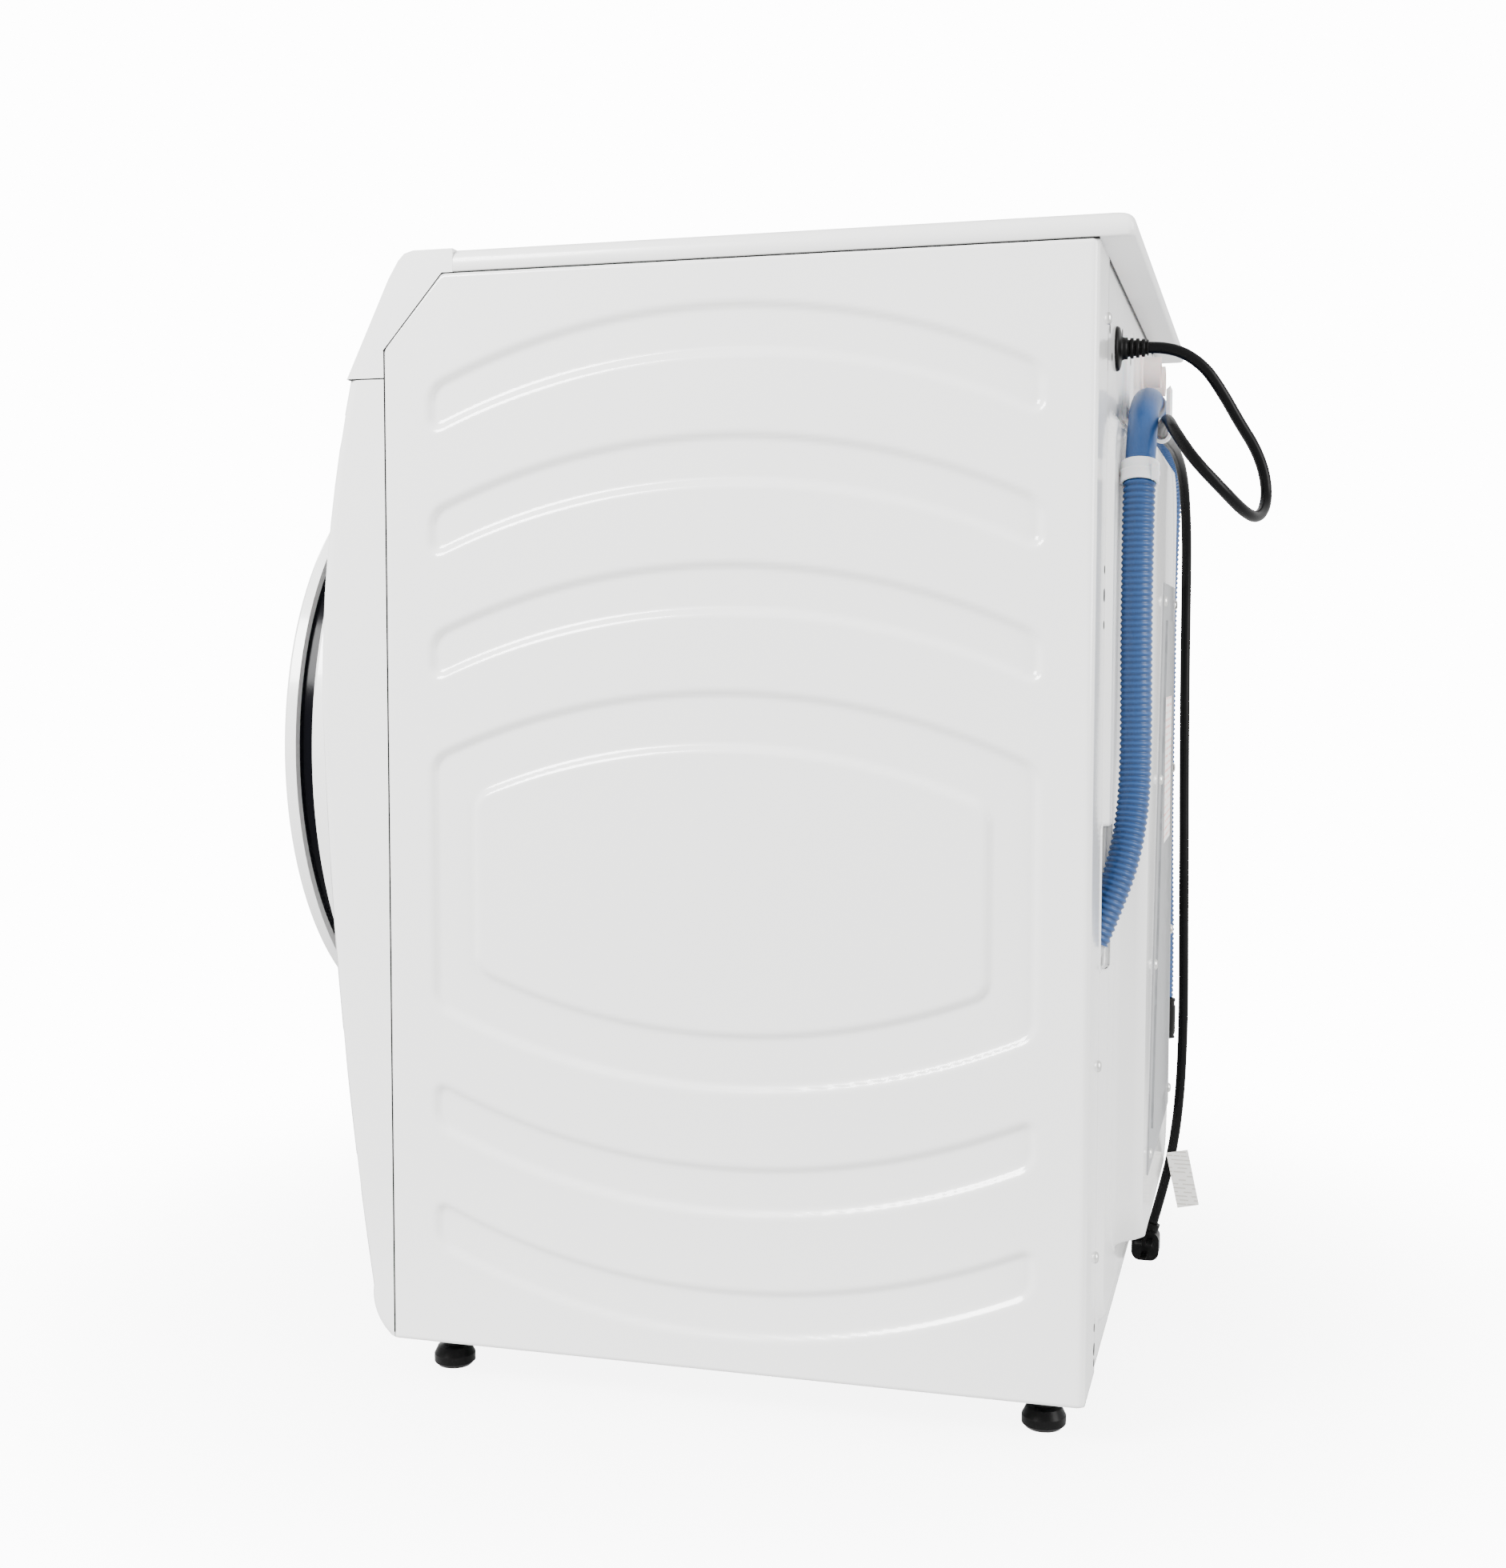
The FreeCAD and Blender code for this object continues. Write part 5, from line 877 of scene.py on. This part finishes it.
TIER_1 = {"half": 0.212, "low": 0.062, "high": 0.725, "round": 0.040, "rise": 0.0055, "slope": 0.006}
TIER_2 = {"half": 0.152, "low": 0.104, "high": 0.712, "round": 0.055, "rise": 0.023, "slope": 0.010}
STIFFENER = {"half": 0.011, "low": 0.746, "high": 0.809, "round": 0.010, "rise": 0.0016, "slope": 0.006}
COVER_LOW, COVER_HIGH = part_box("service_cover")
SLOT_X, SLOT_Z = (0.191, 0.227), (0.328, 0.432)
POCKET_DEPTH, POCKET_HOLE = 0.011, (0.2085, 0.372)


def tier_rise(x, z, tier):
    """How far a swelling of the rear wall stands out at a point."""
    slope = tier["slope"]
    side = tier["half"] + slope - abs(x)
    up = min(z - tier["low"] + slope, tier["high"] + slope - z)
    return tier["rise"] * smoothstep(rounded_min(side, up, tier["round"]), slope)


def in_service_opening(x, z, inset):
    """Whether a point is inside the uneven four-sided service opening."""
    t = (z - COVER_LOW[2]) / (COVER_HIGH[2] - COVER_LOW[2])
    left = -0.150 + 0.020 * t + inset
    right = 0.108 - 0.088 * t - inset
    return inset < z - COVER_LOW[2] < COVER_HIGH[2] - COVER_LOW[2] - inset and left < x < right


def build_rear_panel():
    """The pressed rear wall, with its swellings, the hose slot and the service opening."""
    face = REAR_Y - STEEL
    half = FLANGE_X + 0.012

    def point(x, z):
        return x, face + sum(tier_rise(x, z, tier) for tier in (TIER_1, TIER_2, STIFFENER)), z

    def keep(x, z):
        in_slot = SLOT_X[0] < x < SLOT_X[1] and SLOT_Z[0] < z < SLOT_Z[1]
        return not in_slot and not in_service_opening(x, z, 0.014)

    columns, rows = steps(-half, half, 0.003, SLOT_X), steps(FOOT_GAP, COVER_Z, 0.003, SLOT_Z)
    panel = grid("rear_panel_visual", columns, rows, point, keep)
    panel.data.flip_normals()
    thicken(panel, STEEL)
    return finish_piece(panel, "cabinet_paint", replaced=["rear_panel"])


def slot_edges(gap):
    """The left, right, lower and upper edges of the hose's slot, moved outwards by a gap."""
    return SLOT_X[0] - gap, SLOT_X[1] + gap, SLOT_Z[0] - gap, SLOT_Z[1] + gap


def build_slot_lip():
    """The rolled lip round the slot that the hose comes out of."""
    x0, x1, z0, z1 = slot_edges(0.001)
    r = 0.007
    centres = ((x1 - r, z1 - r), (x0 + r, z1 - r), (x0 + r, z0 + r), (x1 - r, z0 + r))
    points = []
    for corner, (cx, cz) in enumerate(centres):
        start = 90 * corner
        for i in range(7):
            angle = math.radians(start + 15 * i)
            points.append(Vector((cx + r * math.cos(angle), REAR_Y - 0.0006, cz + r * math.sin(angle))))
    points.append(points[0])
    lip = tube("slot_lip", points, lambda along: 0.0014, 10, False)[0]
    return finish_piece(lip, "cabinet_paint")


def build_slot_pocket():
    """The white pocket behind the slot, which the hose comes up through."""
    x0, x1, z0, z1 = slot_edges(0.0005)
    face = REAR_Y - STEEL
    verts = []
    for x, rim in ((x0, TIER_1["rise"]), (x1, 0)):
        rows = [(z0, -rim), (z0, POCKET_DEPTH), (z1, POCKET_DEPTH), (z1, -rim)]
        verts += [(x, face - deep, z) for z, deep in rows]
    faces = [(0, 1, 5, 4), (1, 2, 6, 5), (2, 3, 7, 6), (0, 3, 2, 1), (4, 5, 6, 7)]
    pocket = new_object("slot_pocket", verts, faces, False)
    centre = (POCKET_HOLE[0], face - POCKET_DEPTH, POCKET_HOLE[1])
    # A black disc round the hose's way out of the pocket: painted shade in the hole.
    hole_shade = lathe("pocket_hole_shade", in_mm([(13.5, 0.6), (1, 0.6)]), centre, (0, 1, 0), 32)
    finish_piece(hole_shade, "black_plastic")
    return finish_piece(pocket, "cabinet_paint")


def build_service_label():
    """A plain printed label on the service cover."""
    y = COVER_HIGH[1] + 0.0002
    rows, columns = steps(0.40, 0.52, 0.02), steps(-0.075, 0.005, 0.02)
    label = grid("service_label", columns, rows, lambda x, z: (x, y, z))
    label.data.flip_normals()
    paper = printed_paper("label_paper", (0.8, 0.8, 0.78), (0.75, 0.3, 0.27), 0.006, "x")
    label.data.materials.append(paper)
    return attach(label, "cabinet")


def build_screws():
    """Pan-head screws with a round recess, one on each screw of the frame's own set."""
    data = NODES["rear_screws"].data
    mesh = bmesh.new()
    mesh.from_mesh(data)
    bmesh.ops.remove_doubles(mesh, verts=mesh.verts[:], dist=1e-5)
    left = set(mesh.verts)
    spots = []
    while left:
        stack, island = [left.pop()], []
        while stack:
            vert = stack.pop()
            island.append(vert.co.copy())
            for edge in vert.link_edges:
                other = edge.other_vert(vert)
                if other in left:
                    left.remove(other)
                    stack.append(other)
        x, z = (sum(p[k] for p in island) / len(island) for k in (0, 2))
        spots.append((x, z, min(p.y for p in island)))
    mesh.free()
    heads = []
    for i, (x, z, y) in enumerate(sorted(spots)):
        head = [(0.01, 1.5), (1.0, 1.5), (1.2, 2.6), (2.6, 2.5), (3.6, 1.9), (4.3, 0.9), (4.4, 0.0)]
        heads.append(lathe(f"head_{i}", in_mm(head), (x, y, z), (0, 1, 0), 20))
    return finish_piece(joined("rear_screws_visual", heads), "zinc_screws", replaced=["rear_screws"])


def build_flange_holes():
    """Punched holes in the rear flange and the wall, each a dark disc of painted shade: x, z and a radius
    in mm.
    """
    pieces = []
    for i, (x, z, r) in enumerate(
        (
            (0.231, 0.615, 2.0),
            (0.231, 0.597, 3.2),
            (0.231, 0.576, 2.0),
            (0.231, 0.068, 2.0),
            (0.231, 0.052, 3.0),
            (0.231, 0.042, 2.0),
            (0.205, 0.787, 2.4),
            (0.185, 0.770, 2.0),
            (0.100, 0.800, 2.4),
            (0.020, 0.790, 2.0),
        )
    ):
        y = REAR_Y if x > FLANGE_X else REAR_Y - STEEL
        profile = [(1.5 * r, 0.0), (1.5 * r, 0.15), (0.01, 0.15)]
        pieces.append(lathe(f"hole_{i}", in_mm(profile), (x, y, z), (0, 1, 0), 24))
    # The black_plastic discs are painted shade for the dark inside each hole.
    return finish_piece(joined("punched_hole_shade", pieces), "black_plastic")


SPOUT_THREADS = 6


def build_spouts():
    """Two threaded water spouts on their moulded plate."""
    base, tip = REAR_Y - 2 * STEEL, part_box("inlet_valve")[1][1]
    mounts = [m for m in frame["record"]["mounts"] if m["name"].startswith("inlet_spout")]
    pieces = []
    for i, mount in enumerate(mounts):
        x, _, z = mount["pos_m"]
        profile = [(17.5, 0.0), (17.5, 3.2), (16.9, 3.8), (11.9, 3.8)]
        for k in range(SPOUT_THREADS):
            along = 4.6 + 1.8 * k
            profile += [(11.9, along), (13.1, along + 0.6), (13.1, along + 0.9), (11.9, along + 1.4)]
        length = (tip - base) / MM
        profile += [(11.9, length - 1.0), (11.3, length), (9.2, length)]
        profile += [(9.0, length - 1), (9.0, 2.0), (0.01, 2.0)]
        pieces.append(lathe(f"spout_{i}", in_mm(profile), (x, base, z), (0, 1, 0), 48))
    return finish_piece(joined("inlet_spouts", pieces), "spout_nylon")


build_rear_panel()
build_slot_lip()
build_slot_pocket()
build_service_label()
build_screws()
build_flange_holes()
build_spouts()

# ---------------------------------------------------------------- worktop


def build_worktop():
    """The moulded worktop: a softly rounded slab that stands a shadow gap above its seat."""
    x, y0, y1, z0, z1 = HALF_X, TOP_LOW[1], TOP_HIGH[1], TOP_LOW[2] + SHADOW_GAP, TOP_HIGH[2]
    rounding, chamfer = 0.010, 0.0012
    section = [(chamfer, z0), (0.0, z0 + chamfer), (0.0, z1 - rounding)]
    for i in range(1, 9):
        angle = math.radians(90 * i / 8)
        inset, rise = rounding * (1 - math.cos(angle)), rounding * math.sin(angle)
        section.append((inset, z1 - rounding + rise))
    outline = []
    r = 0.006
    corners = ((-x, y0, 0.0004, 180), (x, y0, 0.0004, 270), (x, y1, r, 0), (-x, y1, r, 90))
    for cx, cy, radius, start in corners:
        sx, sy = math.copysign(1, cx), 1 if cy == y1 else -1
        for i in range(7):
            angle = math.radians(start + 15 * i)
            away = Vector((math.cos(angle), math.sin(angle)))
            outline.append((cx - sx * radius + radius * away.x, cy - sy * radius + radius * away.y))
    verts = []
    wide = len(outline)
    for inset, z in section:
        for px, py in outline:
            verts.append((px - math.copysign(inset, px), py - (inset if py > y1 - 0.01 else 0.0), z))
    faces = ring_faces(len(section), wide)
    last = (len(section) - 1) * wide
    faces.append(tuple(last + i for i in range(wide)))
    faces.append(tuple(reversed(range(wide))))
    top = new_object("worktop_visual", verts, faces)
    return finish_piece(top, "worktop_laminate", replaced=["worktop"])


def seam_shade_strip(name, start, end, out):
    """A thin dark strip of painted shade along a joint: it lies back from the outer face and shows only in
    the gap.
    """
    points = [Vector(start), Vector(end)]
    heading = (points[1] - points[0]).normalized()
    out = Vector(out)
    across = heading.cross(out) * 0.0005
    back = out * -0.003
    verts = [p + sign * across + shift for p in points for sign in (-1, 1) for shift in (Vector(), back)]
    faces = [(0, 1, 3, 2), (4, 6, 7, 5), (0, 4, 5, 1), (2, 3, 7, 6), (0, 2, 6, 4), (1, 5, 7, 3)]
    return new_object(name, verts, faces, False)


def build_seam_shade():
    """Painted shade in the joints, as dark strips: under the worktop, round the console's cheeks and beside
    the front.
    """
    strips = []
    low_z, foot_y = COVER_Z - CHEEK_RISE, SEAM_Y + CHEEK_RUN
    under = TOP_LOW[2] + SHADOW_GAP / 2
    for side in (-1, 1):
        x = side * (HALF_X - 0.0003)
        out = (side, 0, 0)
        flush = side * (HALF_X + 0.00005)
        for name, start, end in (
            ("under", (x, REAR_Y, under), (x, TOP_LOW[1], under)),
            ("level", (flush, TOP_LOW[1], under), (flush, foot_y, under)),
            ("cheek", (flush, foot_y, under), (flush, SEAM_Y, low_z)),
            ("front", (x, SEAM_Y, low_z), (x, SEAM_Y, FOOT_GAP + 0.004)),
            ("fascia", (flush, SEAM_Y, FASCIA_Z), (flush, SEAM_Y - FASCIA_DEPTH, FASCIA_Z)),
        ):
            strips.append(seam_shade_strip(f"{name}_seam_{side}", start, end, out))
    strips.append(seam_shade_strip("rear_seam_shade", (-FLANGE_X, REAR_Y, under), (FLANGE_X, REAR_Y, under), (0, 1, 0)))
    # The black_plastic strips are painted shade for the dark inside each gap.
    return finish_piece(joined("seam_shade_strips", strips), "black_plastic")


build_worktop()
build_seam_shade()

# ---------------------------------------------------------------- door seal, springs and sleeves


def build_gasket():
    """The grey rubber bellows between the front panel and the tub."""
    low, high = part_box("door_gasket")
    outer, y0, y1 = (high[2] - low[2]) / 2, low[1], high[1]
    profile = [
        (outer - 0.017, 0.0),
        (outer - 0.001, 0.0),
        (outer, 0.003),
        (outer - 0.006, 0.004),
        (outer - 0.006, 0.011),
        (outer - 0.001, 0.017),
        (outer - 0.001, 0.026),
        (outer - 0.007, 0.033),
        (outer - 0.004, y1 - y0 - 0.001),
        (outer - 0.003, y1 - y0),
        (outer - 0.006, y1 - y0),
        (outer - 0.010, 0.034),
        (outer - 0.004, 0.025),
        (outer - 0.004, 0.018),
        (outer - 0.010, 0.012),
        (outer - 0.010, 0.003),
        (outer - 0.016, 0.002),
        (outer - 0.017, 0.0),
    ]
    seal = lathe("door_seal", profile, (0, y0, DRUM_Z), (0, 1, 0), 96)
    finish_piece(seal, "gasket_rubber", None, ["door_gasket"])
    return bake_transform(seal)


def build_spring(side, sign):
    """A tension spring with a short straight end on its axis at each end."""
    low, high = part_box("suspension_springs")
    reach = 0.0235
    top = Vector((sign * 0.230, (low[1] + high[1]) / 2, high[2]))
    foot = Vector((sign * 0.203, top.y, low[2]))
    axis = (foot - top).normalized()
    across = Vector((0, 1, 0))
    other = axis.cross(across)
    turns, wire, coil_r = 22, 0.0018, 0.0070
    span = (foot - top).length
    points = [top, top + axis * 0.006]
    for i in range(turns * 16 + 1):
        t = i / (turns * 16)
        angle = math.tau * turns * t
        grow = min(1.0, t * 18, (1 - t) * 18)
        middle = top + axis * (reach + (span - 2 * reach) * t)
        points.append(middle + (across * math.cos(angle) + other * math.sin(angle)) * coil_r * grow)
    points += [foot - axis * 0.006, foot]
    spring = tube(f"suspension_spring_{side}", points, lambda along: wire, 8)[0]
    finish_piece(spring, "spring_steel", None, ["suspension_springs"])
    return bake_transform(spring)


def build_sleeve(name, x, y, z_fixed, z_moving, radius):
    """A corrugated rubber sleeve between a fixed neck and one on the tub."""
    count = 5
    length = z_moving - z_fixed
    profile = []
    for i in range(count * 8 + 1):
        t = i / (count * 8)
        wave = 0.5 - 0.5 * math.cos(math.tau * count * t)
        profile.append((radius - 0.003 + 0.003 * wave * min(1, 6 * t, 6 * (1 - t)), length * t))
    inside = [(radius - 0.004, length), (radius - 0.004, 0.0), profile[0]]
    sleeve = lathe(name, profile + inside, (x, y, z_fixed), (0, 0, 1), 40, (1, 0, 0))
    finish_piece(sleeve, "belt_rubber", None, ["tub_hoses"])
    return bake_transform(sleeve)


build_gasket()
build_spring("left", -1)
build_spring("right", 1)
SLEEVE_LOW, SLEEVE_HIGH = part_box("tub_hoses")
build_sleeve("inlet_sleeve", -0.190, -0.060, SLEEVE_HIGH[2], SLEEVE_HIGH[2] - 0.055, 0.018)
build_sleeve("sump_sleeve", 0.150, -0.100, SLEEVE_LOW[2], SLEEVE_LOW[2] + 0.050, 0.021)

# ---------------------------------------------------------------- knob, display and console marks

SLOPE_OUT = Vector((0, -0.90083, 0.43415))
SLOPE_UP = Vector((0, 0.43415, 0.90083))
FACE_MIDDLE = Vector((0, -0.23215, 0.794))
MARK_R = 32.5 * MM


def on_console(x, up, out=0.0):
    """A point on the console's sloping face, measured from the knob's centre."""
    return FACE_MIDDLE + Vector((x, 0, 0)) + SLOPE_UP * up + SLOPE_OUT * out


def build_knob():
    """The programme knob: a fluted grip on a skirt."""
    sides = 144
    profile = [
        (0.27, -12, 0),
        (4, -12, 0),
        (4, 0.4, 0),
        (27, 0.4, 0),
        (27, 2, 0),
        (26.19, 3.2, 0),
        (23.76, 3.6, 0),
        (22.95, 4.8, 1),
        (22.41, 14, 1),
        (21.6, 16.8, 1),
        (20.25, 17.8, 0),
        (18.9, 18, 0),
        (17.82, 17.2, 0),
        (0.27, 17.2, 0),
    ]
    outline = in_mm([(r, along) for r, along, _ in profile])
    knob = lathe("program_knob_visual", outline, FACE_MIDDLE, SLOPE_OUT, sides, SLOPE_UP)
    for j, (_, _, fluted) in enumerate(profile):
        for i in range(sides * fluted):
            vert = knob.data.vertices[j * sides + i]
            away = vert.co - FACE_MIDDLE
            away -= SLOPE_OUT * away.dot(SLOPE_OUT)
            vert.co -= away.normalized() * 0.0005 * (1 - math.cos(math.tau * 36 * i / sides)) / 2
    return finish_piece(knob, "knob_silver", "knob", ["program_knob"])


def console_bar(name, x, up, wide, tall, out=0.00015, lean=0.0):
    """A small printed bar on the console's face."""
    c, s = math.cos(lean), math.sin(lean)
    corners = []
    for a, b in ((-1, -1), (1, -1), (1, 1), (-1, 1)):
        dx, dy = a * wide / 2, b * tall / 2
        corners.append(on_console(x + dx * c - dy * s, up + dx * s + dy * c, out))
    return new_object(name, corners, [(0, 1, 2, 3)], False)


def build_console_marks():
    """Dial marks round the knob and a plain bar over each button."""
    marks = []
    for i in range(12):
        angle = math.radians(-150 + 300 * i / 11)
        x, up = MARK_R * math.sin(angle), MARK_R * math.cos(angle)
        marks.append(console_bar(f"mark_{i}", x, up, 0.0011, 0.004 if i % 3 else 0.0055, lean=-angle))
    for i, x in enumerate((0.135, 0.190, 0.250)):
        marks.append(console_bar(f"rule_{i}", x, 0.0125, 0.014, 0.0009))
    return finish_piece(joined("console_marks", marks), "door_dark")


def build_display_digits():
    """A lit clock reading of three plain digits in segments."""
    paint = Paint("display_light", Base_Color=(0.02, 0.05, 0.06), Roughness=0.3, Emission_Strength=1.4)
    glow = paint.fade(paint.noise(800, 1), 0.2, 0.8, 0.75, 1.0)
    paint.set(Emission_Color=paint.mix(glow, (0.2, 0.5, 0.6), (0.55, 0.9, 1.0)))
    wide, tall, bar = 0.0062, 0.0062, 0.0011
    segments = {
        "a": (0, tall, wide, bar),
        "b": (wide / 2, tall / 2, bar, tall),
        "c": (wide / 2, -tall / 2, bar, tall),
        "d": (0, -tall, wide, bar),
        "e": (-wide / 2, -tall / 2, bar, tall),
        "f": (-wide / 2, tall / 2, bar, tall),
        "g": (0, 0, wide, bar),
    }
    shapes = {"1": "bc", "3": "abgcd", "0": "abcdef"}
    out = 0.0002
    parts = []
    for k, (digit, x) in enumerate((("1", 0.061), ("3", 0.077), ("0", 0.088))):
        for letter in shapes[digit]:
            dx, dy, w, h = segments[letter]
            parts.append(console_bar(f"digit_{k}{letter}", x + dx, dy, w * 0.92, h * 0.92, out))
    for k, up in enumerate((-0.0025, 0.0025)):
        parts.append(console_bar(f"colon_{k}", 0.069, up, bar, bar, out))
    digits = joined("display_digits", parts)
    digits.data.materials.append(paint.material)
    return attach(digits, "cabinet")


build_knob()
build_console_marks()
build_display_digits()
